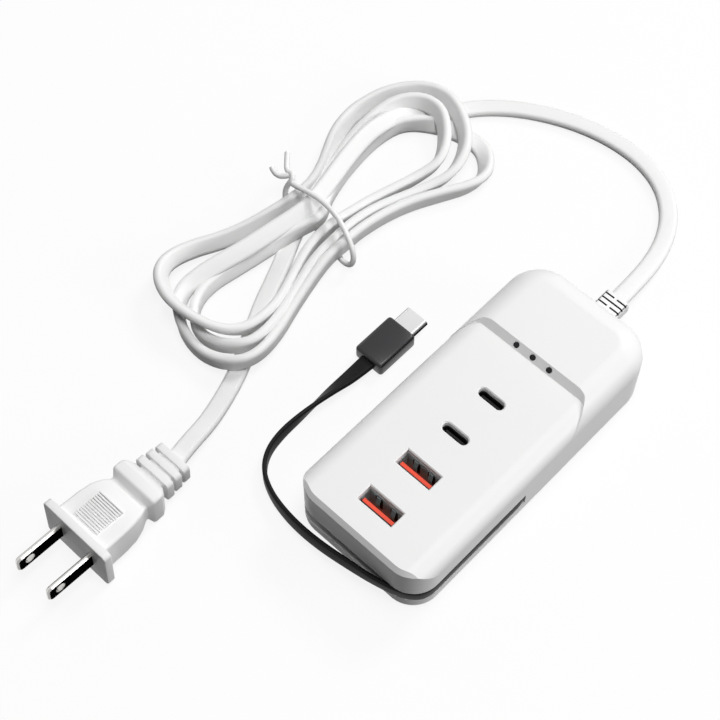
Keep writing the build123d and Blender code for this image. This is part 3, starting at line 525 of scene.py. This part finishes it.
def soften(piece: bpy.types.Object, edges: Rounding) -> None:
    """Rounds a piece's sharp edges with an applied Bevel and shades it smooth.

    Args:
        piece: the piece, which becomes the only selected object.
        edges: how its edges are rounded.
    """
    deselect()
    piece.select_set(True)
    bpy.context.view_layer.objects.active = piece
    bevel = piece.modifiers.new("soft_edges", "BEVEL")
    bevel.width = edges.width * MM
    bevel.segments = edges.segments
    bevel.limit_method = "ANGLE"
    bevel.angle_limit = math.radians(edges.angle)
    bpy.ops.object.modifier_apply(modifier=bevel.name)
    bpy.ops.object.shade_smooth_by_angle(angle=math.radians(SMOOTH_ANGLE))


def join_pieces(pieces: list[bpy.types.Object]) -> bpy.types.Object:
    """Joins pieces into the first one.

    Args:
        pieces: the mesh objects to join.

    Returns:
        The joined object, selected and active.
    """
    deselect()
    for piece in pieces:
        piece.select_set(True)
    bpy.context.view_layer.objects.active = pieces[0]
    bpy.ops.object.join()
    return pieces[0]


def along(axis: int) -> Callable[[Vector, Vector], bool]:
    """Gives the test for edges that run along one axis."""
    return lambda first, last: all(abs(first[k] - last[k]) < SAME_PLACE for k in range(3) if k != axis)


def nurbs_curve(name: str, points: list[RoutePoint]) -> bpy.types.Object:
    """Makes one open NURBS spline with the route's points as its control points.

    Args:
        name: the new object's name.
        points: x, y, z in millimetres and the turn of the section in degrees.

    Returns:
        The curve object, with no thickness yet.
    """
    data = bpy.data.curves.new(name, "CURVE")
    data.dimensions = "3D"
    data.twist_mode = "Z_UP"
    data.resolution_u = CURVE_RESOLUTION
    data.use_fill_caps = True
    spline = data.splines.new("NURBS")
    spline.points.add(len(points) - 1)
    for knot, (x, y, z, turn) in zip(spline.points, points):
        knot.co = (x * MM, y * MM, z * MM, 1.0)
        knot.tilt = math.radians(turn)
    spline.order_u = 3
    spline.use_endpoint_u = True
    spline.use_smooth = True
    made = bpy.data.objects.new(name, data)
    bpy.context.scene.collection.objects.link(made)
    return made


def flat_profile(name: str, width: float, thickness: float, waist: float) -> bpy.types.Object:
    """Makes a flat cord's section as a closed curve that is never shown itself.

    Args:
        name: the new object's name.
        width: the section's width in millimetres.
        thickness: its thickness in millimetres.
        waist: how far each wide side is drawn in at its middle, in millimetres.

    Returns:
        The profile's curve object.
    """
    data = bpy.data.curves.new(name, "CURVE")
    data.dimensions = "2D"
    data.fill_mode = "NONE"
    spline = data.splines.new("POLY")
    radius = PROFILE_ROUND * thickness
    half, high = width / 2 - radius, thickness / 2 - radius
    outline: list[tuple[float, float]] = []
    for corner, (cx, cy) in enumerate([(half, high), (-half, high), (-half, -high), (half, -high)]):
        for step in range(PROFILE_STEPS + 1):
            angle = math.radians(90 * (corner + step / PROFILE_STEPS))
            outline.append((cx + radius * math.cos(angle), cy + radius * math.sin(angle)))
        if corner == 0:
            outline.append((0.0, thickness / 2 - waist))
        if corner == 2:
            outline.append((0.0, waist - thickness / 2))
    spline.points.add(len(outline) - 1)
    for knot, (x, y) in zip(spline.points, outline):
        knot.co = (x * MM, y * MM, 0.0, 1.0)
    spline.use_cyclic_u = True
    made = bpy.data.objects.new(name, data)
    bpy.context.scene.collection.objects.link(made)
    made.hide_render = True
    return made


EDGE = Lie.ON_EDGE.value
LEAN = Lie.LEANING.value
FLAT = Lie.FLAT.value


@dataclass
class MainsCord:
    """The flat white mains cord: its run, the tied hank and the tail to the plug."""

    width: float = 6.0
    thickness: float = 3.0
    waist: float = 0.12
    length: float = 1.12
    exit: Point = (0.0, 64.9, 4.5)
    run: list[RoutePoint] = field(default_factory=lambda: [
        (0.0, 64.9, 4.5, FLAT), (-0.3, 74.0, 4.2, FLAT), (-1.4, 84.0, 2.6, FLAT), (-4.0, 94.0, 1.6, FLAT),
        (-8.8, 102.6, 1.6, FLAT), (-16.8, 109.8, 1.6, FLAT), (-27.4, 113.6, 1.6, FLAT),
        (-39.0, 114.0, 1.6, FLAT), (-50.8, 111.9, 1.6, FLAT), (-62.0, 107.6, 1.6, FLAT),
        (-72.4, 101.6, 1.6, FLAT), (-80.6, 94.4, 1.6, FLAT), (-86.4, 86.6, 1.6, FLAT),
    ])
    first_turn: list[RoutePoint] = field(default_factory=lambda: [
        (-90.2, 79.7, 1.9, -10.0), (-94.8, 75.0, 3.2, -20.0), (-97.6, 67.8, 5.4, -25.0),
        (-97.9, 58.2, 7.2, -28.0), (-96.3, 48.4, 8.0, -28.0), (-94.2, 39.3, 8.2, -28.0),
        (-91.9, 30.0, 8.4, -30.0), (-90.7, 23.2, 8.4, -30.0), (-91.5, 16.4, 8.2, -30.0),
        (-92.9, 8.5, 8.0, -30.0), (-94.3, -0.6, 7.6, -30.0), (-96.5, -9.3, 7.0, -32.0),
        (-98.4, -17.4, 6.0, -40.0), (-98.9, -24.2, 4.8, -55.0), (-95.4, -29.4, 3.7, -75.0),
        (-88.4, -33.6, 3.1, EDGE), (-80.3, -35.1, 3.1, EDGE), (-72.7, -33.9, 4.6, EDGE),
        (-67.0, -30.2, 6.2, EDGE), (-65.2, -24.0, 6.0, EDGE), (-67.0, -14.7, 4.2, EDGE),
        (-71.0, -3.3, 3.1, EDGE), (-73.6, 7.3, 3.6, EDGE), (-74.9, 15.3, 4.6, EDGE),
        (-74.5, 21.8, 5.2, EDGE), (-74.6, 30.0, 4.6, EDGE), (-73.7, 39.4, 3.4, EDGE),
        (-71.0, 48.7, 3.1, EDGE), (-66.4, 57.8, 3.1, EDGE), (-62.0, 65.8, 3.1, -80.0),
        (-60.8, 72.6, 2.9, -60.0), (-64.2, 78.0, 2.6, -40.0), (-69.4, 81.5, 2.0, -15.0),
        (-75.5, 81.5, 1.6, FLAT), (-82.1, 80.1, 2.2, -20.0),
    ])
    second_turn: list[RoutePoint] = field(default_factory=lambda: [
        (-87.3, 77.1, 2.8, -50.0), (-92.0, 73.4, 3.0, -70.0), (-95.5, 68.5, 3.1, -75.0),
        (-96.8, 59.4, 3.1, -75.0), (-96.0, 49.9, 3.1, -75.0), (-93.9, 40.4, 3.7, -80.0),
        (-90.5, 30.9, 4.8, EDGE), (-86.1, 24.2, 5.4, EDGE), (-88.7, 16.5, 5.4, -80.0),
        (-90.5, 9.0, 4.4, -70.0), (-92.3, 1.0, 3.4, -65.0), (-93.8, -7.1, 3.1, -65.0),
        (-95.2, -15.2, 3.1, -70.0), (-94.1, -22.7, 3.1, -80.0), (-89.8, -28.5, 3.1, EDGE),
        (-83.4, -30.8, 3.1, EDGE), (-76.4, -29.5, 4.4, EDGE), (-70.7, -25.6, 6.2, EDGE),
        (-68.9, -19.9, 6.0, EDGE), (-70.9, -9.4, 4.0, EDGE), (-74.7, 1.7, 3.1, EDGE),
        (-77.5, 11.7, 4.2, EDGE), (-77.8, 22.4, 5.2, EDGE), (-78.0, 31.0, 4.6, EDGE),
        (-77.0, 40.0, 3.4, EDGE), (-73.9, 49.1, 3.1, -85.0), (-70.8, 57.7, 3.3, -75.0),
        (-68.4, 65.6, 4.8, -65.0), (-70.3, 73.3, 6.2, -60.0), (-75.0, 79.6, 6.4, -60.0),
        (-82.4, 84.5, 6.4, -60.0), (-90.6, 87.0, 6.2, -60.0), (-99.5, 84.0, 5.0, -55.0),
    ])
    third_turn: list[RoutePoint] = field(default_factory=lambda: [
        (-106.0, 76.4, 3.8, -50.0), (-108.6, 67.1, 3.2, LEAN), (-108.8, 60.2, 3.1, LEAN),
        (-107.1, 52.8, 3.1, LEAN), (-103.5, 45.8, 3.4, -50.0), (-100.1, 39.5, 4.2, -60.0),
        (-97.7, 32.4, 4.8, -70.0), (-97.4, 26.2, 5.2, -75.0), (-98.6, 18.0, 4.4, -65.0),
        (-100.7, 8.0, 3.4, LEAN), (-103.9, -1.6, 3.2, LEAN), (-108.1, -10.1, 3.6, LEAN),
        (-109.9, -18.0, 4.8, -50.0), (-108.4, -23.9, 6.6, -60.0), (-103.6, -28.2, 8.2, -60.0),
        (-96.4, -30.6, 9.0, -60.0), (-87.6, -30.0, 9.0, -60.0), (-79.4, -27.2, 8.0, -65.0),
        (-74.5, -21.9, 6.8, -75.0), (-73.2, -14.7, 6.0, EDGE), (-74.6, -6.2, 4.2, EDGE),
        (-78.5, 3.4, 3.3, EDGE), (-81.8, 13.1, 4.4, EDGE), (-82.5, 23.1, 5.2, EDGE),
        (-81.4, 31.2, 4.6, EDGE), (-80.6, 39.6, 3.4, EDGE), (-78.4, 49.5, 3.1, -80.0),
        (-76.0, 58.7, 3.3, -75.0), (-74.4, 65.4, 5.0, -70.0), (-76.5, 70.7, 6.2, -65.0),
        (-81.1, 76.2, 6.4, -60.0), (-87.4, 80.8, 6.4, -60.0), (-94.0, 80.3, 6.4, -60.0),
        (-98.9, 75.9, 6.2, -60.0), (-101.2, 69.8, 5.6, -60.0),
    ])
    tail: list[RoutePoint] = field(default_factory=lambda: [
        (-102.2, 61.3, 4.2, -70.0), (-101.7, 53.2, 3.3, -80.0), (-99.8, 45.2, 3.1, EDGE),
        (-97.7, 37.9, 3.1, -80.0), (-95.7, 31.7, 3.6, -60.0), (-93.8, 26.1, 3.5, -20.0),
        (-91.6, 18.6, 2.0, FLAT), (-88.8, 12.2, 1.6, FLAT), (-85.4, 5.6, 1.6, FLAT),
        (-82.2, -1.6, 1.6, FLAT), (-79.2, -8.8, 1.6, FLAT), (-75.6, -15.7, 1.6, FLAT),
        (-71.8, -22.9, 1.6, FLAT), (-68.1, -29.9, 1.6, FLAT), (-65.1, -37.5, 1.6, FLAT),
        (-62.4, -46.2, 1.8, FLAT), (-60.8, -52.1, 3.0, FLAT), (-59.5, -58.4, 4.7, FLAT),
        (-58.0, -65.6, 5.3, FLAT),
    ])

    def build(self, shop: FinishShop) -> bpy.types.Object:
        """Lays the whole cord as one spline and gives it its flat section.

        Args:
            shop: where the finishes come from.

        Returns:
            The cord.
        """
        route = self.run + self.first_turn + self.second_turn + self.third_turn + self.tail
        cord = nurbs_curve("mains_cord", route)
        cord.data.bevel_mode = "OBJECT"
        cord.data.bevel_object = flat_profile("mains_cord_section", self.width, self.thickness, self.waist)
        shop.dress(cord, WHITE_CORD)
        return cord

    def declare(self, cord: bpy.types.Object, *on_it: bpy.types.Object) -> None:
        """Attaches the cord to the charger and hides the solids that it stands for.

        Args:
            cord: the cord.
            on_it: the new pieces on the cord; not used.
        """
        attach(cord, BODY)
        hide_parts("mains_cord_run", "cord_hank", "mains_cord_tail")


@dataclass
class ChargeLead:
    """The flat black charge lead, on edge in its groove and flat at its plug."""

    width: float = 4.2
    thickness: float = 1.4
    waist: float = 0.0
    length: float = 0.163
    exit: Point = (18.4, 4.2, 7.5)
    route: list[RoutePoint] = field(default_factory=lambda: [
        (18.4, 4.2, 7.5, EDGE), (18.4, -3.0, 7.5, EDGE), (23.1, -6.4, 7.5, EDGE),
        (23.1, -12.0, 7.5, EDGE), (23.1, -40.6, 7.5, EDGE), (23.0, -47.6, 7.5, EDGE),
        (18.2, -51.5, 7.4, EDGE), (9.6, -53.8, 6.9, EDGE), (0.3, -54.9, 6.0, -80.0),
        (-8.2, -55.8, 5.1, -78.0), (-16.3, -55.9, 4.1, -78.0), (-24.0, -55.1, 3.1, -80.0),
        (-31.5, -53.3, 2.4, -86.0), (-38.0, -49.9, 2.2, EDGE), (-41.8, -44.4, 2.2, -96.0),
        (-43.1, -37.2, 2.2, -102.0), (-43.0, -30.1, 2.3, -92.0), (-42.7, -23.2, 2.5, -66.0),
        (-42.2, -16.2, 2.7, -40.0), (-41.4, -9.6, 2.8, -16.0), (-41.2, -2.0, 2.8, FLAT),
    ])
    flare: float = 1.3
    flare_points: int = 4

    def build(self, shop: FinishShop) -> bpy.types.Object:
        """Lays the lead as one spline and gives it its flat section.

        Args:
            shop: where the finishes come from.

        Returns:
            The lead.
        """
        lead = nurbs_curve("charge_lead_ribbon", self.route)
        knots = lead.data.splines[0].points
        for step, knot in enumerate(knots[-self.flare_points:], start=1):
            knot.radius = 1.0 + (self.flare - 1.0) * step / self.flare_points
        lead.data.bevel_mode = "OBJECT"
        lead.data.bevel_object = flat_profile("charge_lead_section", self.width, self.thickness, self.waist)
        shop.dress(lead, BLACK_SHEATH)
        return lead

    def declare(self, lead: bpy.types.Object, boot: bpy.types.Object) -> None:
        """Attaches the lead to the charger and hides the solid that it stands for.

        Args:
            lead: the lead.
            boot: the boot of its plug; not used.
        """
        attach(lead, BODY)
        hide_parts("charge_lead")


@dataclass
class WireTie:
    """The coated wire round the hank's waist, with its two ends twisted together."""

    diameter: float = 1.8
    roundness: int = 5
    first_end: list[Point] = field(default_factory=lambda: [
        (-108.4, 24.6, 11.4), (-106.6, 23.8, 11.0), (-104.2, 24.2, 10.8), (-102.4, 25.6, 11.6),
    ])
    twist: list[Point] = field(default_factory=lambda: [
        (-101.6, 27.2, 11.2), (-100.6, 26.4, 10.2), (-99.8, 24.8, 10.8),
    ])
    arch: list[Point] = field(default_factory=lambda: [
        (-97.4, 24.6, 11.6), (-93.4, 25.2, 12.2), (-87.6, 25.7, 12.6), (-80.4, 24.9, 12.5),
        (-73.6, 22.5, 11.4), (-69.2, 20.6, 8.8), (-67.8, 19.4, 5.4), (-69.4, 18.9, 2.0),
    ])
    floor_side: list[Point] = field(default_factory=lambda: [
        (-73.8, 19.4, 0.9), (-81.0, 21.4, 0.9), (-89.0, 23.0, 0.9), (-96.0, 22.8, 0.9),
        (-99.4, 22.0, 2.2), (-101.2, 22.8, 5.4), (-101.4, 24.0, 8.4),
    ])
    second_end: list[Point] = field(default_factory=lambda: [
        (-100.2, 25.4, 11.6), (-101.2, 26.8, 12.4), (-103.0, 26.8, 11.4), (-104.8, 27.6, 11.2),
        (-106.6, 29.6, 11.6), (-108.6, 31.8, 11.8),
    ])

    def build(self, shop: FinishShop) -> bpy.types.Object:
        """Bends the wire from one end, over and under the hank, to the other end.

        Args:
            shop: where the finishes come from.

        Returns:
            The tie.
        """
        wire = self.first_end + self.twist + self.arch + self.floor_side + self.second_end
        tie = nurbs_curve("wire_tie", [(*point, FLAT) for point in wire])
        tie.data.bevel_depth = self.diameter / 2 * MM
        tie.data.bevel_resolution = self.roundness
        shop.dress(tie, WHITE_TIE)
        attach(tie, BODY)
        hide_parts("cord_tie")
        return tie


@dataclass
class MainsPlug:
    """The moulded body of the two-blade plug, lying on its flange and its shoulder."""

    place: Point = (-58.0, -103.4, 8.07)
    tilt: float = 4.19
    flange: Point = (25.5, 2.6, 15.8)
    flange_corners: Rounding = Rounding(1.4, 4)
    core_edges: Rounding = Rounding(0.4, 3, 30.0)
    sections: list[Point] = field(default_factory=lambda: [
        (2.6, 19.6, 12.2), (10.2, 19.2, 12.0), (14.2, 18.4, 11.4), (17.4, 16.6, 9.6), (19.6, 14.4, 7.4),
        (20.6, 14.0, 7.2), (21.8, 16.4, 11.6), (22.4, 17.0, 12.3), (25.4, 16.8, 12.1), (26.8, 14.8, 10.4),
        (27.8, 12.0, 8.2), (28.2, 8.8, 5.0), (36.4, 8.6, 4.8),
    ])
    ribs: list[Point] = field(default_factory=lambda: [
        (30.1, 13.4, 8.6), (33.5, 12.8, 8.0), (36.9, 12.2, 7.4),
    ])
    rib_thickness: float = 2.4
    rib_corners: Rounding = Rounding(1.5, 4)
    rib_edges: Rounding = Rounding(0.2, 2, 40.0)
    ridge: Point = (9.6, 0.48, 1.1)
    ridge_edges: Rounding = Rounding(0.08, 2, 40.0)
    ridge_count: int = 12
    ridge_pitch: float = 0.84
    ridge_start: float = 4.7

    def core(self) -> bpy.types.Object:
        """Extrudes flange, grip, valley and shoulder from one block.

        Returns:
            The core, along its own axis.
        """
        wide, deep, high = self.flange
        body = add_block("plug_moulding", self.flange, (0.0, deep / 2, 0.0))
        edit_edges(body, along(1))
        bevel_selected(self.flange_corners)
        edit_faces(body, lambda face: face.normal.y > FACING)
        last = (deep, wide, high)
        for section in self.sections:
            extrude_selected((0.0, section[0] - last[0], 0.0))
            shrink = (section[1] / last[1], 1.0, section[2] / last[2])
            bpy.ops.transform.resize(value=shrink, center_override=(0.0, section[0] * MM, 0.0))
            last = section
        bpy.ops.object.mode_set(mode="OBJECT")
        soften(body, self.core_edges)
        return body

    def rib(self, distance: float, wide: float, high: float) -> bpy.types.Object:
        """Models one bend rib.

        Args:
            distance: how far behind the flange's face its middle is.
            wide: its width.
            high: its height.

        Returns:
            The rib.
        """
        made = add_block("plug_rib", (wide, self.rib_thickness, high), (0.0, distance, 0.0))
        edit_edges(made, along(1))
        bevel_selected(self.rib_corners)
        soften(made, self.rib_edges)
        return made

    def ridges(self) -> list[bpy.types.Object]:
        """Models one grip ridge and copies it over both sides of the grip.

        Returns:
            The ridges, each with its own mesh.
        """
        first = add_block("plug_ridge", self.ridge, (0.0, 0.0, 0.0))
        soften(first, self.ridge_edges)
        made = []
        for side in (-1, 1):
            for step in range(self.ridge_count):
                copy = first.copy()
                copy.data = first.data.copy()
                bpy.context.scene.collection.objects.link(copy)
                copy.location = metres(
                    (0.0, self.ridge_start + step * self.ridge_pitch, side * self.sections[0][2] / 2)
                )
                made.append(copy)
        bpy.data.objects.remove(first)
        return made

    def build(self, shop: FinishShop) -> bpy.types.Object:
        """Models the plug along its own axis, then lays it in its place.

        Args:
            shop: where the finishes come from.

        Returns:
            The plug's moulding.
        """
        parts = [self.core(), *[self.rib(*rib) for rib in self.ribs], *self.ridges()]
        plug = join_pieces(parts)
        plug.rotation_euler = (-math.radians(self.tilt), 0.0, 0.0)
        plug.location = metres(self.place)
        bpy.ops.object.transform_apply(location=True, rotation=True, scale=True)
        shop.dress(plug, WHITE_SHELL)
        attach(plug, BODY)
        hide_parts("plug_body")
        return plug


@dataclass
class LeadBoot:
    """The charge lead's moulded boot, with a mouth for the lead and a recess round the shell."""

    size: Point = (10.8, 15.5, 5.6)
    place: Point = (-41.2, 5.25, 2.8)
    edges: Rounding = Rounding(1.1, 4)
    smooth_angle: float = 35.0
    mouth: Point = (0.52, 1.0, 0.5)
    mouth_depth: float = 0.7
    lip: float = 0.7
    recess: float = 0.35
    least_end: float = 1e-6

    def build(self, shop: FinishShop) -> bpy.types.Object:
        """Models the boot.

        Args:
            shop: where the finishes come from.

        Returns:
            The boot.
        """
        boot = add_block("lead_boot", self.size, self.place)
        edit_edges(boot, lambda first, last: True)
        bevel_selected(self.edges)
        rear = (self.place[0], self.place[1] - self.size[1] / 2, self.place[2])
        edit_faces(boot, lambda face: face.normal.y < -SQUARE_ON)
        extrude_selected((0.0, 0.0, 0.0))
        bpy.ops.transform.resize(value=self.mouth, center_override=metres(rear))
        extrude_selected((0.0, self.mouth_depth, 0.0))
        edit_faces(boot, lambda face: face.normal.y > SQUARE_ON and face.area > self.least_end)
        bpy.ops.mesh.inset(thickness=self.lip * MM)
        extrude_selected((0.0, -self.recess, 0.0))
        bpy.ops.object.mode_set(mode="OBJECT")
        bpy.ops.object.shade_smooth_by_angle(angle=math.radians(self.smooth_angle))
        shop.dress(boot, CHARCOAL)
        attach(boot, BODY)
        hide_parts("usb_c_plug_boot")
        return boot


@dataclass
class PortSprings:
    """The spring fingers in each wide port's rear wall, black plates painted behind them as the shade of
    their cut-outs, and a black contact carrier on its tongue painted as the shade there.
    """

    ports: dict[str, float] = field(default_factory=lambda: {"front": -41.1, "rear": -25.8})
    wall: float = 2.56
    offset: float = 2.8
    slot: Point = (2.7, 0.06, 6.2)
    slot_corners: Rounding = Rounding(0.8, 3)
    finger: Point = (1.5, 0.18, 0.6)
    finger_edges: Rounding = Rounding(0.05, 1, 60.0)
    top: float = 19.0
    carrier_length: float = 11.6
    carrier_thickness: float = 0.12
    carrier_top: float = 19.7
    carrier_band: tuple[float, float] = (-2.2, -1.52)
    carrier_edges: Rounding = Rounding(0.04, 2)
    bends: list[tuple[float, float]] = field(default_factory=lambda: [
        (-0.2, -0.9), (-0.3, -1.1), (-0.15, -1.2), (0.15, -1.1), (0.3, -0.9),
    ])

    def finger_piece(self, x: float, wall_y: float) -> bpy.types.Object:
        """Bends one finger out of its wall by extruding it downwards in steps.

        Args:
            x: the finger's place across the port.
            wall_y: where the wall's face is.

        Returns:
            The finger.
        """
        thick, rise = self.finger[1:]
        made = add_block("spring_finger", self.finger, (x, wall_y - thick, self.top - rise / 2))
        edit_faces(made, lambda face: face.normal.z < -FACING)
        for out, down in self.bends:
            extrude_selected((0.0, out, down))
        bpy.ops.object.mode_set(mode="OBJECT")
        soften(made, self.finger_edges)
        return made

    def slot_shade_piece(self, x: float, wall_y: float) -> bpy.types.Object:
        """Models a thin black plate behind a finger, rounded at its corners, painted as the shade seen
        through its cut-out.

        Args:
            x: the cut-out's place across the port.
            wall_y: where the wall's face is.

        Returns:
            The cut-out.
        """
        middle = (x, wall_y - self.slot[1] / 2, self.top - self.slot[2] / 2)
        made = add_block("spring_slot_shade", self.slot, middle)
        edit_edges(made, along(1))
        bevel_selected(self.slot_corners)
        return made

    def carrier_shade_piece(self, port_y: float) -> bpy.types.Object:
        """Models a thin black strip on a port's tongue, shaped as the carrier that holds the contacts,
        painted as the shade there.

        Args:
            port_y: where the port's middle is.

        Returns:
            The carrier.
        """
        front, rear = self.carrier_band
        size = (self.carrier_length, rear - front, self.carrier_thickness)
        middle = (0.0, port_y + (front + rear) / 2, self.carrier_top - self.carrier_thickness / 2)
        made = add_block("contact_carrier_shade", size, middle)
        edit_edges(made, along(0))
        bevel_selected(self.carrier_edges)
        return made

    def build(self, shop: FinishShop) -> list[bpy.types.Object]:
        """Models the fingers, cut-outs and carriers of both ports.

        Args:
            shop: where the finishes come from.

        Returns:
            The new pieces.
        """
        made = []
        for name, y in self.ports.items():
            sides = (-self.offset, self.offset)
            fingers = join_pieces([self.finger_piece(x, y + self.wall) for x in sides])
            fingers.name = f"port_springs_{name}"
            shop.dress(fingers, SPRING_STEEL)
            # The black cut-out plates and carriers are painted shade.
            shade_cut_outs = [self.slot_shade_piece(x, y + self.wall) for x in sides]
            shade_pieces = join_pieces([self.carrier_shade_piece(y), *shade_cut_outs])
            shade_pieces.name = f"port_painted_shade_{name}"
            shop.dress(shade_pieces, BLACK_PLASTIC)
            for piece, slot in ((fingers, "steel"), (shade_pieces, "black_plastic")):
                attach(piece, BODY)
                made.append(piece)
        return made


@dataclass
class Casework:
    """Every solid of the charger that keeps its own form and takes a finish."""

    def dress(self, shop: FinishShop) -> None:
        """Gives each solid its own finish, or else that of its material slot.

        Args:
            shop: where the finishes come from.
        """
        for row in frame["record"]["subparts"]:
            name = row["node"]
            shop.dress(frame["nodes"][name], NODE_FINISHES.get(name, SLOT_FINISHES[row["material_slot"]]))


@dataclass(frozen=True)
class Lamp:
    """A soft square lamp: its place and side in metres, and its power in watts."""

    name: str
    place: Point
    side: float
    power: float


@dataclass
class Studio:
    """The pale floor, the soft lamps and the white surround."""

    floor_size: float = 8.0
    floor_height: float = -0.0001
    floor_roughness: float = 0.9
    floor_white: float = 0.93
    floor_bounce: float = 0.05
    floor_glow: float = 0.86
    surround_white: float = 0.87
    ambient: float = 0.06
    aim: Point = (-0.045, 0.0, 0.0)
    lamps: tuple[Lamp, ...] = (
        Lamp("key_lamp", (-0.03, 1.35, 1.3), 0.5, 13.0),
        Lamp("top_lamp", (0.15, 0.05, 1.6), 0.7, 13.5),
        Lamp("right_lamp", (1.05, 0.42, 0.44), 0.5, 5.8),
        Lamp("left_lamp", (-1.1, 0.2, 0.6), 0.5, 1.4),
    )

    def floor(self) -> None:
        """Lays the floor, pale to the eye and darker in what it throws back on the charger.

        Its glow is only for what is seen directly, and the rest of it keeps the charger's shadow.
        """
        deselect()
        bpy.ops.mesh.primitive_plane_add(size=self.floor_size, location=(0.0, 0.0, self.floor_height))
        plane = bpy.context.object
        plane.name = "studio_floor"
        made = bpy.data.materials.new("pale_floor")
        made.use_nodes = True
        nodes, links = made.node_tree.nodes, made.node_tree.links
        shader = nodes["Principled BSDF"]
        shader.inputs["Roughness"].default_value = self.floor_roughness
        shader.inputs["Specular IOR Level"].default_value = 0.0
        tone = nodes.new("ShaderNodeMix")
        tone.data_type = "RGBA"
        tone.inputs["A"].default_value = (self.floor_bounce, self.floor_bounce, self.floor_bounce, 1.0)
        tone.inputs["B"].default_value = (self.floor_white, self.floor_white, self.floor_white, 1.0)
        seen = self.seen_directly((nodes, links))
        links.new(seen, tone.inputs["Factor"])
        links.new(tone.outputs["Result"], shader.inputs["Base Color"])
        glow = nodes.new("ShaderNodeEmission")
        blend = nodes.new("ShaderNodeMixShader")
        links.new(calculate((nodes, links), "MULTIPLY", seen, self.floor_glow), blend.inputs["Fac"])
        links.new(shader.outputs["BSDF"], blend.inputs[1])
        links.new(glow.outputs["Emission"], blend.inputs[2])
        links.new(blend.outputs["Shader"], nodes["Material Output"].inputs["Surface"])
        plane.data.materials.append(made)

    def seen_directly(self, tree: Tree) -> bpy.types.NodeSocket:
        """Gives 1 for what the camera sees, also by reflection or through glass, and 0 for soft light.

        Args:
            tree: the nodes and links to add to.

        Returns:
            The socket with that value.
        """
        path = tree[0].new("ShaderNodeLightPath").outputs
        first = calculate(tree, "MAXIMUM", path["Is Camera Ray"], path["Is Glossy Ray"])
        return calculate(tree, "MAXIMUM", first, path["Is Transmission Ray"])

    def surround(self) -> None:
        """Makes the world pale to the eye and dim in the light that it gives.

        Its tone is that of the far floor, so that no line shows between them in a low view.
        """
        world = bpy.data.worlds.new("studio_surround")
        world.use_nodes = True
        nodes, links = world.node_tree.nodes, world.node_tree.links
        shade = nodes["Background"]
        shade.inputs["Color"].default_value = (1.0, 1.0, 1.0, 1.0)
        level = nodes.new("ShaderNodeMapRange")
        level.inputs["To Min"].default_value = self.ambient
        level.inputs["To Max"].default_value = self.surround_white
        links.new(self.seen_directly((nodes, links)), level.inputs["Value"])
        links.new(level.outputs["Result"], shade.inputs["Strength"])
        bpy.context.scene.world = world

    def hang(self, lamp: Lamp) -> None:
        """Hangs a lamp that faces the charger.

        Args:
            lamp: the lamp.
        """
        data = bpy.data.lights.new(lamp.name, "AREA")
        data.shape = "SQUARE"
        data.size = lamp.side
        data.energy = lamp.power
        made = bpy.data.objects.new(lamp.name, data)
        made.location = lamp.place
        made.rotation_euler = (Vector(self.aim) - Vector(lamp.place)).to_track_quat("-Z", "Y").to_euler()
        bpy.context.scene.collection.objects.link(made)

    def build(self) -> None:
        """Sets up floor, surround and lamps.

        The view transform is the plain one, so a colour renders about as it is written.
        """
        self.floor()
        self.surround()
        for lamp in self.lamps:
            self.hang(lamp)
        bpy.context.scene.view_settings.view_transform = "Standard"


@dataclass
class PhotoCamera:
    """The camera at the photograph's angle."""

    azimuth: float = 43.47
    elevation: float = 60.03
    distance: float = 504.3
    target: Point = (-44.44, -2.43, 0.0)
    lens: float = 83.4
    sensor: float = 36.0
    nearest: float = 0.01

    def build(self) -> None:
        """Places the camera and makes it the scene's own.

        The angles are in degrees, the distance and the target in millimetres.
        """
        turn, rise = math.radians(self.azimuth), math.radians(self.elevation)
        back = Vector((math.sin(turn) * math.cos(rise), -math.cos(turn) * math.cos(rise), math.sin(rise)))
        data = bpy.data.cameras.new("photo_camera")
        data.lens = self.lens
        data.sensor_width = self.sensor
        data.sensor_fit = "HORIZONTAL"
        data.clip_start = self.nearest
        camera = bpy.data.objects.new("photo_camera", data)
        camera.location = metres(self.target) + back * self.distance * MM
        camera.rotation_euler = (-back).to_track_quat("-Z", "Y").to_euler()
        bpy.context.scene.collection.objects.link(camera)
        bpy.context.scene.camera = camera


def main() -> None:
    """Builds the sub-assemblies in order and reports each piece.
    """
    logging.basicConfig(level=logging.INFO, format="%(name)s: %(message)s")
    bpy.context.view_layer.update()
    shop = FinishShop()
    Casework().dress(shop)
    LOG.info("dressed %d solids", len(frame["nodes"]))
    PhotoCamera().build()
    Studio().build()
    tie = WireTie().build(shop)
    LOG.info("bent %s", tie.name)
    plug = MainsPlug().build(shop)
    LOG.info("modelled %s", plug.name)
    mains = MainsCord()
    mains_cord = mains.build(shop)
    mains.declare(mains_cord, tie, plug)
    LOG.info("laid %s", mains_cord.name)
    boot = LeadBoot().build(shop)
    LOG.info("modelled %s", boot.name)
    lead = ChargeLead()
    charge_lead = lead.build(shop)
    lead.declare(charge_lead, boot)
    LOG.info("laid %s", charge_lead.name)
    for spring in PortSprings().build(shop):
        LOG.info("modelled %s", spring.name)


if __name__ == "__main__":
    main()
